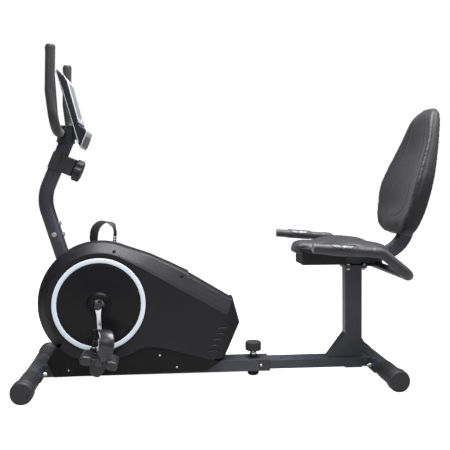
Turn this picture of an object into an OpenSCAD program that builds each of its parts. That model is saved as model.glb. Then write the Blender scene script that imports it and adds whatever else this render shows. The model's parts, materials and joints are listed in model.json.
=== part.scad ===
// Recumbent exercise bike, millimetres. +X runs to the rear (towards the backrest), +Y to the
// rider's right, +Z up, and the floor is Z = 0.
// Inside the modules, s is the distance behind the front stabiliser's axis. The module placed()
// moves everything so that the origin is on the floor, in the middle of the whole bike.

/* [Floor frame] */
// Distance between the two stabiliser axes
wheelbase = 1213; // [1195:1:1230]
// Width of each stabiliser over its end caps
stabilizer_w = 500; // [460:2:560]
// Outer diameter of the stabiliser tubes
stabilizer_d = 60; // [58:0.5:61]
// Outer diameter of the stabiliser end caps
end_cap_d = 74; // [72:0.5:78]
// Height of the main beam's underside
beam_z = 22; // [20:0.5:24]
// Width of the main beam
beam_w = 80; // [79:0.5:81]
// Height of the main beam
beam_h = 40; // [39.5:0.5:41]

/* [Seat slide] */
// Width of the rail that slides in the beam
rail_w = 70; // [68:0.5:71]
// Height of the rail
rail_h = 30; // [29:0.5:31]
// Distance between the rail's locking holes
hole_pitch = 52; // [50:0.5:53]
// Diameter of the fluted lock knob
lock_knob_d = 58; // [52:1:62]

/* [Drive] */
// Crank radius, from the axle to the pedal spindle
crank_r = 165; // [158:1:170]
// Angle of the left crank from straight down, towards the rear
crank_angle = 4; // [0:1:8]
// Radius of the belt wheel on the crank axle
drive_pulley_r = 125; // [118:1:128]
// Radius of the flywheel's small belt pulley
small_pulley_r = 26; // [24:1:28]
// Radius of the flywheel
flywheel_r = 105; // [98:1:106]

/* [Front post] */
// Outer diameter of the front post
post_d = 50; // [49:0.5:51]
// Height of the handlebar tips
handlebar_z = 1134; // [1120:1:1145]
// Distance between the two upright handlebar grips
handlebar_w = 360; // [340:2:390]

/* [Seat and backrest] */
// Width of the seat cushion at its widest
seat_w = 364; // [340:2:380]
// Width of the backrest at its widest
backrest_w = 360; // [330:2:370]
// Distance between the centres of the two side handles
handle_gap = 620; // [600:2:640]

/* [Hidden] */

$fn = 64;
hull_fn = 32;

wall = 2;                       // wall of the steel tubes
fixed_gap = 0.02;               // gap between pieces that are pressed or bolted together
run_gap = 0.05;                 // radial gap of a turning or sliding fit
thread_gap = 0.1;               // gap around a bolt in its hole
bend_overlap = 1;
bend_swell = 0.15;

// floor frame
axis_z = end_cap_d / 2 - 1;     // the caps stand on a flat cut 1 mm into their round
tube_r = stabilizer_d / 2;
cap_sleeve_r = tube_r + 1.6;
cap_head_l = 34;
cap_sleeve_l = 104;
beam_top = beam_z + beam_h;
beam_mid_z = beam_z + beam_h / 2;
beam_end_s = 776;
saddle_t = 4;
saddle_r = tube_r + saddle_t;
saddle_w = 136;
clamp_bolt_y = 54;
clamp_bolt_r = 4;

// seat slide
rail_front_s = 430;
rail_z = beam_mid_z - rail_h / 2;
rail_top = rail_z + rail_h;
sleeve_end_s = 817;
sleeve_screw_s = 785;
lock_s = 762;
lock_pin_r = 5;
socket_top = beam_top + 12;
gland_top = socket_top + 11;
lock_knob_z = gland_top + 1.5;
lock_knob_h = 32;

// drive train: the crank axle, the flywheel axle and the plane the belt runs in
crank_s = 219;
crank_z = 272;
axle_r = 8.5;
bearing_r = 17.5;
shell_half_w = 34;
belt_y0 = 37;
belt_y1 = 47;
belt_t = 2.5;
belt_gap = 0.3;
fly_s = 500;
fly_z = 205;
fly_axle_r = 6;
fly_hub_r = 18;
fly_hub_l = 40;
fork_y = 50;
fork_t = 5;
arm_y0 = 80;
arm_y1 = 93;
pedal_y0 = 104;
pedal_w = 92;
pedal_l = 124;
pedal_h = 30;
left_pedal_tilt = 13;
right_pedal_tilt = 4;
pedal_spindle_r = 6;

// lower tangent of the belt, from the crank pulley to the flywheel pulley
belt_dist = norm([fly_s - crank_s, fly_z - crank_z]);
belt_dir = atan2(fly_z - crank_z, fly_s - crank_s);
belt_normal = belt_dir - acos((drive_pulley_r - small_pulley_r) / belt_dist);
idler_r = 22;
idler_along = 150;
idler_off = drive_pulley_r + belt_t + belt_gap + idler_r + 0.1;
idler_s = crank_s + idler_off * cos(belt_normal) + idler_along * cos(belt_normal + 90);
idler_z = crank_z + idler_off * sin(belt_normal) + idler_along * sin(belt_normal + 90);
idler_bolt_s = 446;
idler_bolt_z = 96;

// magnet arm: an arc outside the flywheel's rear rim, on a pin at its lower end
magnet_gap = 8;
magnet_arc_r = flywheel_r + magnet_gap + 6;
magnet_arc_t = 4;
magnet_arm_w = 30;
magnet_pin_angle = -38;
magnet_pin_s = fly_s + (magnet_arc_r + 8) * cos(magnet_pin_angle);
magnet_pin_z = fly_z + (magnet_arc_r + 8) * sin(magnet_pin_angle);
magnet_pin_r = 4;

// housing: a round front about the crank and a tail that falls to the rear
housing_half_w = 64;
housing_wall = 3;
cover_half_w = 60;
cover_rim_y = 49;
side_r = 178;
crown_r = 215;
lower_trim_r = 197;
side_tail = [[359, 400], [462, 343], [566, 285], [655, 232], [651, 190], [628, 130], [606, 66]];
crown_tail = [[392, 441], [463, 409], [527, 378], [676, 286], [700, 200], [665, 102], [652, 66]];
ring_r1 = 159;
ring_r0 = 143;
groove_r = 164;
recess = 1.5;
screw_boss_r = 7;
hub_boss_r = 38;

// front post: a lower leg that leans forward and an upper leg that leans back
lower_lean = 18;
upper_lean = 22;
foot_s = 209;
corner_s = 22;
corner_z = 637;
post_bend_r = 140;
post_r = post_d / 2;
joint_z = 485;
stub_top_z = 560;
head_s = 92;
head_z = 858;
head_half_w = 32;
bar_r = 12.7;
grip_r = 16;
bar_bend_r = 62;
bar_tip_s = 72;

// tension control, placed along the post's upper leg
box_l = 60;
box_reach = 60;
box_half_w = 30;
box_z = 735;
cable_exit_s = 120;
cable_exit_z = 340;
knob_r = 38;
knob_h = 27;
knob_along = 27;

// console: its own axes start at its lower tip and lean with it
console_lean = 16.5;
console_s = 160;
console_z = 806;
console_half_w = 80;
console_profile = [
    [0, 0], [34, 44], [37, 50], [36, 58], [31, 67], [22, 76], [20, 86], [21, 145], [23, 230],
    [17, 253], [2, 274], [-3, 262], [-3, 20]
];

// seat side
seat_post_s = 1097;
seat_post_l = 62;
seat_post_w = 40;
seat_post_top = 382;
top_plate_t = 6;
bracket_z = seat_post_top + top_plate_t;
spar_h = 44;
spar_w = 38;
spar_z = 426;
spar_bend_s = 1218;
spar_bend_r = 120;
spar_up_l = 190;
back_lean = 15;
cross_s = 1218;
cross_z = 389;
side_bar_r = 13.5;
side_grip_r = 15.6;
side_tip_s = 905;
side_tip_z = 484;
side_bend_s = 1128;
side_bend_z = 467;
seat_s0 = 905;
seat_s1 = 1247;
cushion_z = 440;
board_t = 10;
board_z = spar_z + spar_h / 2 + 0.1;
rim = 13.5;
pan_s0 = 930;
pan_z = 398;
pan_half_w = 62;

// backrest: its own axes start at the end of the spar's bend and lean back with it
back_s = spar_bend_s + spar_bend_r * sin(90 - back_lean);
back_z = spar_z + spar_bend_r * (1 - cos(90 - back_lean));
back_low = -25;
back_high = 460;
back_plane = -spar_h / 2;

// the bike reaches from the front end caps to the top of the backrest
rear_end_s = back_s + back_plane * cos(back_lean) + back_high * sin(back_lean);
half_length = (rear_end_s - end_cap_d / 2) / 2;

// ---------------------------------------------------------------- helpers

module placed() translate([-half_length, 0, 0]) children();

// cylinder along Y, centred at (s, z)
module y_rod(s, z, r, y0, y1) translate([s, y0, z]) rotate([-90, 0, 0]) cylinder(h = y1 - y0, r = r);

// cylinder along X, at (y, z)
module x_rod(s0, s1, y, z, r) translate([s0, y, z]) rotate([0, 90, 0]) cylinder(h = s1 - s0, r = r);

// an outline in the (s, z) plane, extruded along Y
module slab(points, y0, y1) translate([0, y1, 0]) rotate([90, 0, 0]) linear_extrude(y1 - y0) polygon(points);

// a box given by its two opposite corners
module block(a, b) translate(a) cube(b - a);

module mirrored_y() {
    children();
    mirror([0, 1, 0]) children();
}

function unit(v) = v / norm(v);
function angle_between(u, v) = acos(u * v);
function arc_points(c, r, a0, a1, n) = [for (i = [0 : n])
    let (a = a0 + (a1 - a0) * i / n) c + r * [cos(a), sin(a)]
];

// moves children so that their x, y and z axes become ax, ay and az, at point p
module axes_at(p, ax, ay, az) multmatrix([
    [ax[0], ay[0], az[0], p[0]],
    [ax[1], ay[1], az[1], p[1]],
    [ax[2], ay[2], az[2], p[2]],
    [0, 0, 0, 1]
]) children();

module rod(a, b, r) {
    w = unit(b - a);
    side = abs(w[1]) < 0.9 ? unit(cross([0, 1, 0], w)) : unit(cross([1, 0, 0], w));
    axes_at(a, side, cross(w, side), w) cylinder(h = norm(b - a), r = r);
}

// a round bar along points, with every corner bent to the radius bend; the straight stretches
// run a little way into the bends, which are a touch thicker, so that the whole is one solid
module bar_along(points, r, bend) {
    last = len(points) - 1;
    dirs = [for (i = [0 : last - 1]) unit(points[i + 1] - points[i])];
    cut = [for (i = [0 : last]) (i == 0 || i == last) ? 0
        : bend * tan(angle_between(dirs[i - 1], dirs[i]) / 2) - bend_overlap];
    for (i = [0 : last - 1])
        rod(points[i] + dirs[i] * cut[i], points[i + 1] - dirs[i] * cut[i + 1], r);
    for (i = [1 : last - 1]) {
        u = dirs[i - 1];
        v = dirs[i];
        n = unit(v - u * (u * v));
        start = points[i] - u * (cut[i] + bend_overlap);
        axes_at(start + n * bend, -n, u, cross(-n, u))
            rotate_extrude(angle = angle_between(u, v)) translate([bend, 0]) circle(r + bend_swell);
    }
}

// the same path with both ends drawn out by d
function longer(points, d) = let (last = len(points) - 1) [for (i = [0 : last])
    i == 0 ? points[0] + d * unit(points[0] - points[1])
    : i == last ? points[last] + d * unit(points[last] - points[last - 1]) : points[i]
];

module tube_along(points, r, bend) difference() {
    bar_along(points, r, bend);
    bar_along(longer(points, 1), r - wall, bend);
}

// a knob of radius r and height h along +Z, with rounded lobes cut by flutes
module fluted_knob(r, h, flutes, flute_r) difference() {
    union() {
        cylinder(h = h - 3, r = r);
        translate([0, 0, h - 3]) cylinder(h = 3, r1 = r, r2 = r - 3);
    }
    for (i = [0 : flutes - 1])
        rotate([0, 0, i * 360 / flutes]) translate([r + flute_r * 0.45, 0, -1])
            cylinder(h = h + 2, r = flute_r);
}

// bolt along +Z from its bearing face at z = 0: a domed head below, a shank above
module carriage_bolt(r, l) {
    translate([0, 0, -4]) cylinder(h = 4, r = r * 2.1);
    translate([0, 0, -1]) cylinder(h = l + 1, r = r);
}

// hexagon nut with a domed end and a washer, along +Z from its bearing face at z = 0
module cap_nut(r) difference() {
    union() {
        cylinder(h = 1.6, r = r * 2.2);
        translate([0, 0, 1.6]) cylinder(h = r * 1.5, r = r * 1.75, $fn = 6);
        translate([0, 0, 1.6 + r * 1.5]) sphere(r = r * 1.3);
    }
    translate([0, 0, -1]) cylinder(h = 1 + r * 2, r = r + fixed_gap);
}

// ---------------------------------------------------------------- floor frame

// curved plate that seats a stabiliser tube at s; facing = 1 opens to the front
module saddle(s, facing) intersection() {
    difference() {
        y_rod(s, axis_z, saddle_r, -saddle_w / 2, saddle_w / 2);
        y_rod(s, axis_z, tube_r + fixed_gap, -saddle_w, saddle_w);
        for (y = [-clamp_bolt_y, clamp_bolt_y])
            x_rod(s - 60, s + 60, y, axis_z, clamp_bolt_r + thread_gap);
    }
    translate([s + facing * 60, 0, axis_z]) cube([100, saddle_w, 50], center = true);
}

module box_tube(s0, s1, w, h, z) difference() {
    block([s0, -w / 2, z], [s1, w / 2, z + h]);
    block([s0 - 1, -w / 2 + wall, z + wall], [s1 + 1, w / 2 - wall, z + h - wall]);
}

// point on the axis of the post's lower leg at height z
function lower_leg(z) = [foot_s - (z - beam_top) * tan(lower_lean), 0, z];
// point on the axis of the post's upper leg at height z
function upper_leg(z) = [corner_s + (z - corner_z) * tan(upper_lean), 0, z];

module upright() {
    difference() {
        union() {
            rod(lower_leg(beam_top - 12), lower_leg(joint_z), post_r);
            rod(lower_leg(joint_z - 30), lower_leg(stub_top_z), post_r - wall - 0.2);
        }
        rod(lower_leg(beam_top - 30), lower_leg(stub_top_z + 20), post_r - 2 * wall - 0.2);
        block([foot_s - 60, -40, 0], [foot_s + 60, 40, beam_top - 1]);
        post_bolt_holes();
        // window where the tension cable leaves the upright
        x_rod(cable_exit_s, cable_exit_s + 80, 0, cable_exit_z, 7);
    }
}

module crank_shell() difference() {
    union() {
        y_rod(crank_s, crank_z, bearing_r + 5, -shell_half_w, shell_half_w);
        for (y = [-24, 18])
            slab([
                [lower_leg(240)[0], 240], [lower_leg(310)[0], 310],
                [crank_s + 6, crank_z + 18], [crank_s + 6, crank_z - 18]
            ], y, y + 6);
    }
    y_rod(crank_s, crank_z, bearing_r, -shell_half_w - 1, shell_half_w + 1);
    rod(lower_leg(beam_top), lower_leg(joint_z), post_r - 2 * wall - 0.2);
}

module flywheel_fork() difference() {
    union() {
        block([fly_s - 60, -fork_y - fork_t, beam_top - 1], [fly_s + 70, fork_y + fork_t, beam_top + 4]);
        for (y = [-fork_y - fork_t, fork_y])
            slab([
                [fly_s - 60, beam_top + 2], [fly_s - 16, fly_z + 10], [fly_s, fly_z + 18],
                [fly_s + 16, fly_z + 10], [fly_s + 60, beam_top + 2]
            ], y, y + fork_t);
        block([idler_bolt_s - 16, 24, beam_top - 1], [idler_bolt_s + 16, 28, idler_bolt_z + 14]);
        for (y = [-magnet_arm_w / 2 - 5, magnet_arm_w / 2 + 1])
            slab([
                [magnet_pin_s - 24, beam_top - 1], [magnet_pin_s - 9, magnet_pin_z + 4],
                [magnet_pin_s, magnet_pin_z + 10], [magnet_pin_s + 9, magnet_pin_z + 4],
                [magnet_pin_s + 16, beam_top - 1]
            ], y, y + 4);
    }
    y_rod(fly_s, fly_z, fly_axle_r + thread_gap, -fork_y - fork_t - 1, fork_y + fork_t + 1);
    y_rod(idler_bolt_s, idler_bolt_z, 4 + thread_gap, 20, 30);
    y_rod(magnet_pin_s, magnet_pin_z, magnet_pin_r + fixed_gap, -30, 30);
}

module main_frame() color([0.25, 0.26, 0.29]) placed() {
    difference() {
        union() {
            box_tube(20, beam_end_s, beam_w, beam_h, beam_z);
            translate([lock_s, 0, beam_top - 1]) cylinder(h = socket_top - beam_top + 1, r = 13);
        }
        y_rod(0, axis_z, saddle_r - 1, -beam_w, beam_w);
        translate([lock_s, 0, beam_top]) cylinder(h = 30, r = 9 + fixed_gap);
        translate([lock_s, 0, beam_top - 10]) cylinder(h = 30, r = lock_pin_r + run_gap);
    }
    saddle(0, 1);
    upright();
    crank_shell();
    flywheel_fork();
    translate([lock_s, 0, 9]) cylinder(h = beam_z - 9 + 1, r = 12);
}

module stabilizer(s) color([0.25, 0.26, 0.29]) placed() difference() {
    y_rod(s, axis_z, tube_r, -stabilizer_w / 2 + 6, stabilizer_w / 2 - 6);
    y_rod(s, axis_z, tube_r - wall, -stabilizer_w / 2, stabilizer_w / 2);
    for (y = [-clamp_bolt_y, clamp_bolt_y])
        x_rod(s - 60, s + 60, y, axis_z, clamp_bolt_r + thread_gap);
}

module end_caps(s) color([0.16, 0.16, 0.18]) placed() mirrored_y() difference() {
    union() {
        y_rod(s, axis_z, end_cap_d / 2, -stabilizer_w / 2 + 3, -stabilizer_w / 2 + cap_head_l);
        y_rod(s, axis_z, end_cap_d / 2 - 4, -stabilizer_w / 2, -stabilizer_w / 2 + 4);
        y_rod(s, axis_z, cap_sleeve_r, -stabilizer_w / 2 + cap_head_l - 1,
              -stabilizer_w / 2 + cap_head_l + cap_sleeve_l);
    }
    y_rod(s, axis_z, tube_r + fixed_gap, -stabilizer_w / 2 + 6, -stabilizer_w / 2 + 200);
    block([s - 40, -stabilizer_w, -10], [s + 40, 0, 0]);
}

module front_stabilizer() stabilizer(0);
module rear_stabilizer() stabilizer(wheelbase);
module front_end_caps() end_caps(0);
module rear_end_caps() end_caps(wheelbase);

// the two carriage bolts and cap nuts of one stabiliser; facing = 1 puts the nuts to the rear
module stabilizer_bolts(s, facing) for (y = [-clamp_bolt_y, clamp_bolt_y])
    translate([s, y, axis_z]) rotate([0, facing * 90, 0]) {
        translate([0, 0, -tube_r - fixed_gap]) carriage_bolt(clamp_bolt_r, 2 * tube_r + saddle_t + 4);
        translate([0, 0, saddle_r + fixed_gap]) cap_nut(clamp_bolt_r);
    }

module middle_foot() color([0.12, 0.12, 0.13]) placed() difference() {
    translate([lock_s, 0, 0]) {
        cylinder(h = 4, r1 = 16, r2 = 20);
        translate([0, 0, 4]) cylinder(h = beam_z - 4 - fixed_gap, r = 20);
    }
    translate([lock_s, 0, 9 - fixed_gap]) cylinder(h = 20, r = 12 + fixed_gap);
}

module rail_sleeve() color([0.14, 0.14, 0.16]) placed() difference() {
    union() {
        block([beam_end_s + fixed_gap, -beam_w / 2, beam_z], [sleeve_end_s, beam_w / 2, beam_top]);
        block([735, -beam_w / 2 + wall + fixed_gap, beam_z + wall + fixed_gap],
              [beam_end_s + 2, beam_w / 2 - wall - fixed_gap, beam_top - wall - fixed_gap]);
    }
    block([700, -rail_w / 2 - run_gap, rail_z - run_gap], [900, rail_w / 2 + run_gap, rail_top + run_gap]);
    translate([lock_s, 0, beam_mid_z]) cylinder(h = 60, r = lock_pin_r + 0.4);
    for (y = [-1, 1])
        translate([sleeve_screw_s, y * beam_w / 2, beam_mid_z]) rotate([90, 0, 0])
            cylinder(h = 40, r = 2 + thread_gap, center = true);
}

module pin_gland() color([0.75, 0.75, 0.76]) placed() difference() {
    union() {
        translate([lock_s, 0, beam_top + 4]) cylinder(h = socket_top - beam_top, r = 9);
        translate([lock_s, 0, socket_top + fixed_gap]) cylinder(h = 5, r = 12.5, $fn = 6);
        translate([lock_s, 0, socket_top + 1]) cylinder(h = gland_top - socket_top - 1, r = 7.5);
    }
    translate([lock_s, 0, beam_top]) cylinder(h = gland_top - beam_top - 2.5, r = 6.6);
    translate([lock_s, 0, beam_top]) cylinder(h = 60, r = 4 + run_gap);
}

// ---------------------------------------------------------------- housing

// side view of the housing: t = 0 is the flat side's edge, t = 1 the crown in the middle
function housing_outline(t, inset = 0) = concat(
    [[95 - 35 * t + inset, 60]],
    arc_points([crank_s, crank_z], side_r + (crown_r - side_r) * t - inset, 215, 68, 32),
    [for (i = [0 : len(side_tail) - 1]) side_tail[i] * (1 - t) + crown_tail[i] * t + [-inset, -inset * 0.9]],
    [[606 + 46 * t - inset, 60]]
);

// thin slice of the housing's outer form at distance y from the middle
module housing_slice(t, y, inset) slab(housing_outline(t, inset), -y, -y + 0.5);

module housing_form(inset) {
    hull() {
        housing_slice(1, 0, inset);
        housing_slice(0.82, 38 - inset * 0.5, inset);
    }
    hull() {
        housing_slice(0.82, 38 - inset * 0.5, inset);
        housing_slice(0.45, 56 - inset, inset);
    }
    hull() {
        housing_slice(0.45, 56 - inset, inset);
        housing_slice(0, housing_half_w - inset, inset);
    }
}

// upper edge of the lower cover, which is also where the housing shell ends
function cover_top_edge(drop = 0) = concat(
    arc_points([crank_s, crank_z], lower_trim_r + drop, 224, 291, 16),
    [[325, 98 - drop], [355, 117 - drop], [390, 124 - drop], [440, 118 - drop], [500, 101 - drop],
     [570, 82 - drop], [640, 66 - drop]]
);

module housing_shell() difference() {
    intersection() {
        difference() {
            housing_form(0);
            // hollow inside, except for the bosses that the screws pull on
            difference() {
                housing_form(housing_wall);
                for (p = housing_screw_points) y_rod(p[0], p[1], screw_boss_r, -100, 1);
            }
        }
        slab(concat([[-60, 600], [-60, 150]], cover_top_edge(), [[760, 66], [760, 600]]), -100, 0);
    }
    // opening behind the disc cover, and the recess that the ring sits in
    y_rod(crank_s, crank_z, ring_r0 - 5, -100, 10);
    y_rod(crank_s, crank_z, groove_r, -100, -housing_half_w + recess);
    // opening for the post
    rod(lower_leg(300), lower_leg(520), post_r + 1);
    // the beam
    block([-50, -beam_w / 2 - 0.5, 0], [800, beam_w / 2 + 0.5, beam_top + 0.5]);
    for (p = housing_screw_points) {
        y_rod(p[0], p[1], 2 + thread_gap, -70, -20);
        y_rod(p[0], p[1], 5, -100, p[2]);
    }
}

// screws that close the two shells, [s, z, y of the head's bearing face]
housing_screw_points = [[270, 452, -55], [503, 362, -46]];
cover_screw_points = [[117, 49, -cover_half_w], [486, 50, -cover_half_w], [427, 92, -cover_half_w]];

module left_housing() color([0.2, 0.2, 0.23]) placed() housing_shell();
module right_housing() color([0.2, 0.2, 0.23]) placed() mirror([0, 1, 0]) housing_shell();

// side view of the lower cover, shrunk by inset except at its open underside
function cover_outline(inset) = concat(
    cover_top_edge(1.5 + inset),
    [[632 - 2 * inset, 62], [606 - inset, 44], [592 - inset, 34 - 5 * inset], [70 + inset, 27 - 5 * inset],
     [44 + 1.4 * inset, 78]]
);

module lower_cover() difference() {
    union() {
        // nose that closes the front, as deep as the whole cover
        intersection() {
            cover_wall(0.2);
            block([0, -100, 0], [100, 0, 200]);
        }
        intersection() {
            cover_wall(cover_rim_y);
            block([99, -100, 0], [700, 0, 200]);
        }
    }
    block([0, -beam_w / 2 - 0.3, 0], [760, 10, beam_top + 1]);
    block([fly_s - 64, -fork_y - fork_t - 1, beam_top - 10], [fly_s + 74, 10, 240]);
    for (p = cover_screw_points) y_rod(p[0], p[1], 2 + thread_gap, -70, 0);
}

module cover_wall(y) difference() {
    slab(cover_outline(0), -cover_half_w, -y);
    slab(cover_outline(housing_wall), -cover_half_w + housing_wall, 1);
}

module lower_covers() color([0.1, 0.1, 0.11]) placed() mirrored_y() lower_cover();

ring_y0 = housing_half_w - recess + fixed_gap;

module ring_trims() color([0.84, 0.87, 0.93]) placed() mirrored_y() difference() {
    y_rod(crank_s, crank_z, ring_r1, -ring_y0 - 4.5, -ring_y0);
    y_rod(crank_s, crank_z, ring_r0, -80, 0);
}

module disc_covers() color([0.12, 0.12, 0.13]) placed() mirrored_y() difference() {
    union() {
        y_rod(crank_s, crank_z, ring_r0 - 0.3, -ring_y0 - 2.5, -ring_y0);
        y_rod(crank_s, crank_z, hub_boss_r, -ring_y0 - 11, -ring_y0);
    }
    y_rod(crank_s, crank_z, hub_boss_r - 3, -ring_y0 - 8, 0);
    y_rod(crank_s, crank_z, 19, -100, 0);
}

// pan-head screw along +Y from its bearing face at y
module y_screw(s, z, y) {
    y_rod(s, z, 4.2, y - 2, y);
    y_rod(s, z, 2, y - 1, y + 12);
}

module cover_screws() color([0.5, 0.5, 0.52]) placed() mirrored_y() {
    for (p = cover_screw_points) y_screw(p[0], p[1], p[2] - fixed_gap);
    for (p = housing_screw_points) y_screw(p[0], p[1], p[2] - fixed_gap);
    y_rod(sleeve_screw_s, beam_mid_z, 4.6, -beam_w / 2 - 2.4, -beam_w / 2 - fixed_gap);
    y_rod(sleeve_screw_s, beam_mid_z, 2, -beam_w / 2 - 1, -rail_w / 2 - 1);
}

// ---------------------------------------------------------------- drive train

module crank_axle() color([0.7, 0.7, 0.72]) placed() {
    y_rod(crank_s, crank_z, axle_r, -arm_y1 - 4, arm_y1 + 4);
}

module crank_bearings() color([0.8, 0.8, 0.8]) placed() mirrored_y() difference() {
    y_rod(crank_s, crank_z, bearing_r - fixed_gap, -shell_half_w, -shell_half_w + 11);
    y_rod(crank_s, crank_z, axle_r + run_gap, -shell_half_w - 1, -shell_half_w + 12);
}

// crank arm drawn hanging straight down on the left side
module crank_arm() difference() {
    union() {
        y_rod(0, 0, 15, -arm_y1, -arm_y0);
        y_rod(0, -crank_r, 12.5, -arm_y1, -arm_y0 - 1);
        slab([[-11, 0], [-8.5, -crank_r], [8.5, -crank_r], [11, 0]], -arm_y1 + 1, -arm_y0 - 1);
    }
    y_rod(0, 0, axle_r + fixed_gap, -100, 0);
    y_rod(0, -crank_r, pedal_spindle_r + fixed_gap, -100, 0);
}

module at_crank(angle) translate([crank_s, 0, crank_z]) rotate([0, -angle, 0]) children();

module crank_arms() color([0.78, 0.79, 0.8]) placed() {
    at_crank(crank_angle) crank_arm();
    at_crank(crank_angle + 180) mirror([0, 1, 0]) crank_arm();
}

module crank_caps() color([0.12, 0.12, 0.13]) placed() mirrored_y() difference() {
    y_rod(crank_s, crank_z, 12.5, -arm_y1 - 7, -arm_y1 - fixed_gap);
    y_rod(crank_s, crank_z, axle_r + fixed_gap, -arm_y1 - 4 - fixed_gap, 0);
}

module drive_pulley() color([0.15, 0.15, 0.16]) placed() difference() {
    union() {
        y_rod(crank_s, crank_z, drive_pulley_r, belt_y0, belt_y1);
        y_rod(crank_s, crank_z, 20, shell_half_w + 0.5, belt_y1 + 6);
    }
    y_rod(crank_s, crank_z, axle_r + fixed_gap, 0, 100);
    for (side = [belt_y0 - 1, belt_y1 - 3.5]) difference() {
        y_rod(crank_s, crank_z, drive_pulley_r - 8, side, side + 4.5);
        y_rod(crank_s, crank_z, 28, side, side + 4.5);
    }
}

module belt_loop(extra, y0, y1) translate([0, y1, 0]) rotate([90, 0, 0]) linear_extrude(y1 - y0) hull() {
    translate([crank_s, crank_z]) circle(drive_pulley_r + extra, $fn = 120);
    translate([fly_s, fly_z]) circle(small_pulley_r + extra, $fn = 60);
}

module drive_belt() color([0.06, 0.06, 0.06]) placed() difference() {
    belt_loop(belt_gap + belt_t, belt_y0 + 1, belt_y1 - 1);
    belt_loop(belt_gap, belt_y0, belt_y1);
}

module flywheel() color([0.45, 0.46, 0.48]) placed() difference() {
    union() {
        y_rod(fly_s, fly_z, flywheel_r, -11, 11);
        y_rod(fly_s, fly_z, fly_hub_r, -fly_hub_l, belt_y1 + 1);
        y_rod(fly_s, fly_z, small_pulley_r, belt_y0, belt_y1);
    }
    y_rod(fly_s, fly_z, fly_axle_r + run_gap, -60, 60);
    for (side = [-12, 6]) difference() {
        y_rod(fly_s, fly_z, flywheel_r - 22, side, side + 6);
        y_rod(fly_s, fly_z, fly_hub_r + 8, side, side + 6);
    }
}

module flywheel_axle() color([0.7, 0.7, 0.72]) placed() {
    y_rod(fly_s, fly_z, fly_axle_r, -fork_y - fork_t - 4, fork_y + fork_t + 4);
    mirrored_y() {
        y_rod(fly_s, fly_z, 10, -fork_y - fork_t - 4, -fork_y - fork_t - fixed_gap);
        y_rod(fly_s, fly_z, 9, -fork_y + fixed_gap, -fork_y + 1.5);
    }
}

module idler_wheel() color([0.2, 0.2, 0.21]) placed() difference() {
    y_rod(idler_s, idler_z, idler_r, belt_y0, belt_y1);
    y_rod(idler_s, idler_z, 5 + run_gap, 0, 100);
}

module idler_arm() color([0.6, 0.6, 0.62]) placed() {
    difference() {
        hull() {
            y_rod(idler_s, idler_z, 10, 28.1, 32.1, $fn = hull_fn);
            y_rod(idler_bolt_s, idler_bolt_z, 12, 28.1, 32.1, $fn = hull_fn);
        }
        y_rod(idler_bolt_s, idler_bolt_z, 4, 0, 100);
    }
    y_rod(idler_s, idler_z, 5, 30, belt_y1 + 1.5);
    y_rod(idler_s, idler_z, 7.5, belt_y1 + 0.2, belt_y1 + 2);
    y_rod(idler_bolt_s, idler_bolt_z, 4, 20, 34);
    y_rod(idler_bolt_s, idler_bolt_z, 7, 32.1, 36);
}

// the axles the pedals turn on, screwed into the crank arms
module pedal_spindle() {
    y_rod(0, 0, pedal_spindle_r, -pedal_y0 - pedal_w + 5, -arm_y0 - 1);
    y_rod(0, 0, 9, -pedal_y0 + 1, -arm_y1 - fixed_gap, $fn = 6);
}

module pedal_spindles() color([0.6, 0.6, 0.62]) placed() {
    at_left_pedal() pedal_spindle();
    at_right_pedal() pedal_spindle();
}

function rim_point(r, a) = [fly_s, fly_z] + r * [cos(a), sin(a)];

module magnet_arm() color([0.62, 0.63, 0.65]) placed() difference() {
    union() {
        slab(concat(arc_points([fly_s, fly_z], magnet_arc_r, magnet_pin_angle, 55, 30),
                    arc_points([fly_s, fly_z], magnet_arc_r + magnet_arc_t, 55, magnet_pin_angle, 30)),
             -magnet_arm_w / 2, magnet_arm_w / 2);
        y_rod(magnet_pin_s, magnet_pin_z, 9, -magnet_arm_w / 2, magnet_arm_w / 2);
    }
    y_rod(magnet_pin_s, magnet_pin_z, magnet_pin_r + run_gap, -50, 50);
}

module brake_magnets() color([0.3, 0.3, 0.32]) placed() for (a = [-14 : 17 : 37])
    slab([rim_point(magnet_arc_r - 0.6, a - 5), rim_point(magnet_arc_r - 0.6, a + 5),
          rim_point(magnet_arc_r - 6, a + 5), rim_point(magnet_arc_r - 6, a - 5)], -12, 12);

module magnet_arm_pin() color([0.7, 0.7, 0.72]) placed() {
    y_rod(magnet_pin_s, magnet_pin_z, magnet_pin_r, -magnet_arm_w / 2 - 7, magnet_arm_w / 2 + 7);
    y_rod(magnet_pin_s, magnet_pin_z, 6.5, magnet_arm_w / 2 + 5.1, magnet_arm_w / 2 + 8);
}

// a point beside the upper leg: reach out towards the rider, along up the leg from the box's foot
function beside_post(reach, along) = upper_leg(box_z)
    + reach * [cos(upper_lean), 0, -sin(upper_lean)] + along * [sin(upper_lean), 0, cos(upper_lean)];

module tension_cable() color([0.05, 0.05, 0.05]) placed() bar_along([
    beside_post(38, knob_along), beside_post(0, knob_along), [corner_s, 0, corner_z],
    lower_leg(cable_exit_z), [470, 0, 352], [545, 0, 334]
], 2.5, 15);

// pedal drawn about its spindle, on the left side: a caged platform with a weighted underside
module pedal() difference() {
    union() {
        block([-pedal_l / 2, -pedal_y0 - pedal_w, -pedal_h / 2], [pedal_l / 2, -pedal_y0, pedal_h / 2]);
        y_rod(0, 0, 14, -pedal_y0 - pedal_w, -pedal_y0);
        slab([[-28, -10], [-16, -48], [10, -50], [24, -10]], -pedal_y0 - 74, -pedal_y0 - 18);
    }
    for (side = [-1, 1]) for (y = [16, 52])
        translate([side * 38 - 14, -pedal_y0 - y - 26, -20]) cube([28, 26, 40]);
    y_rod(0, 0, pedal_spindle_r + run_gap, -pedal_y0 - pedal_w + 4, 0);
}

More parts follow.
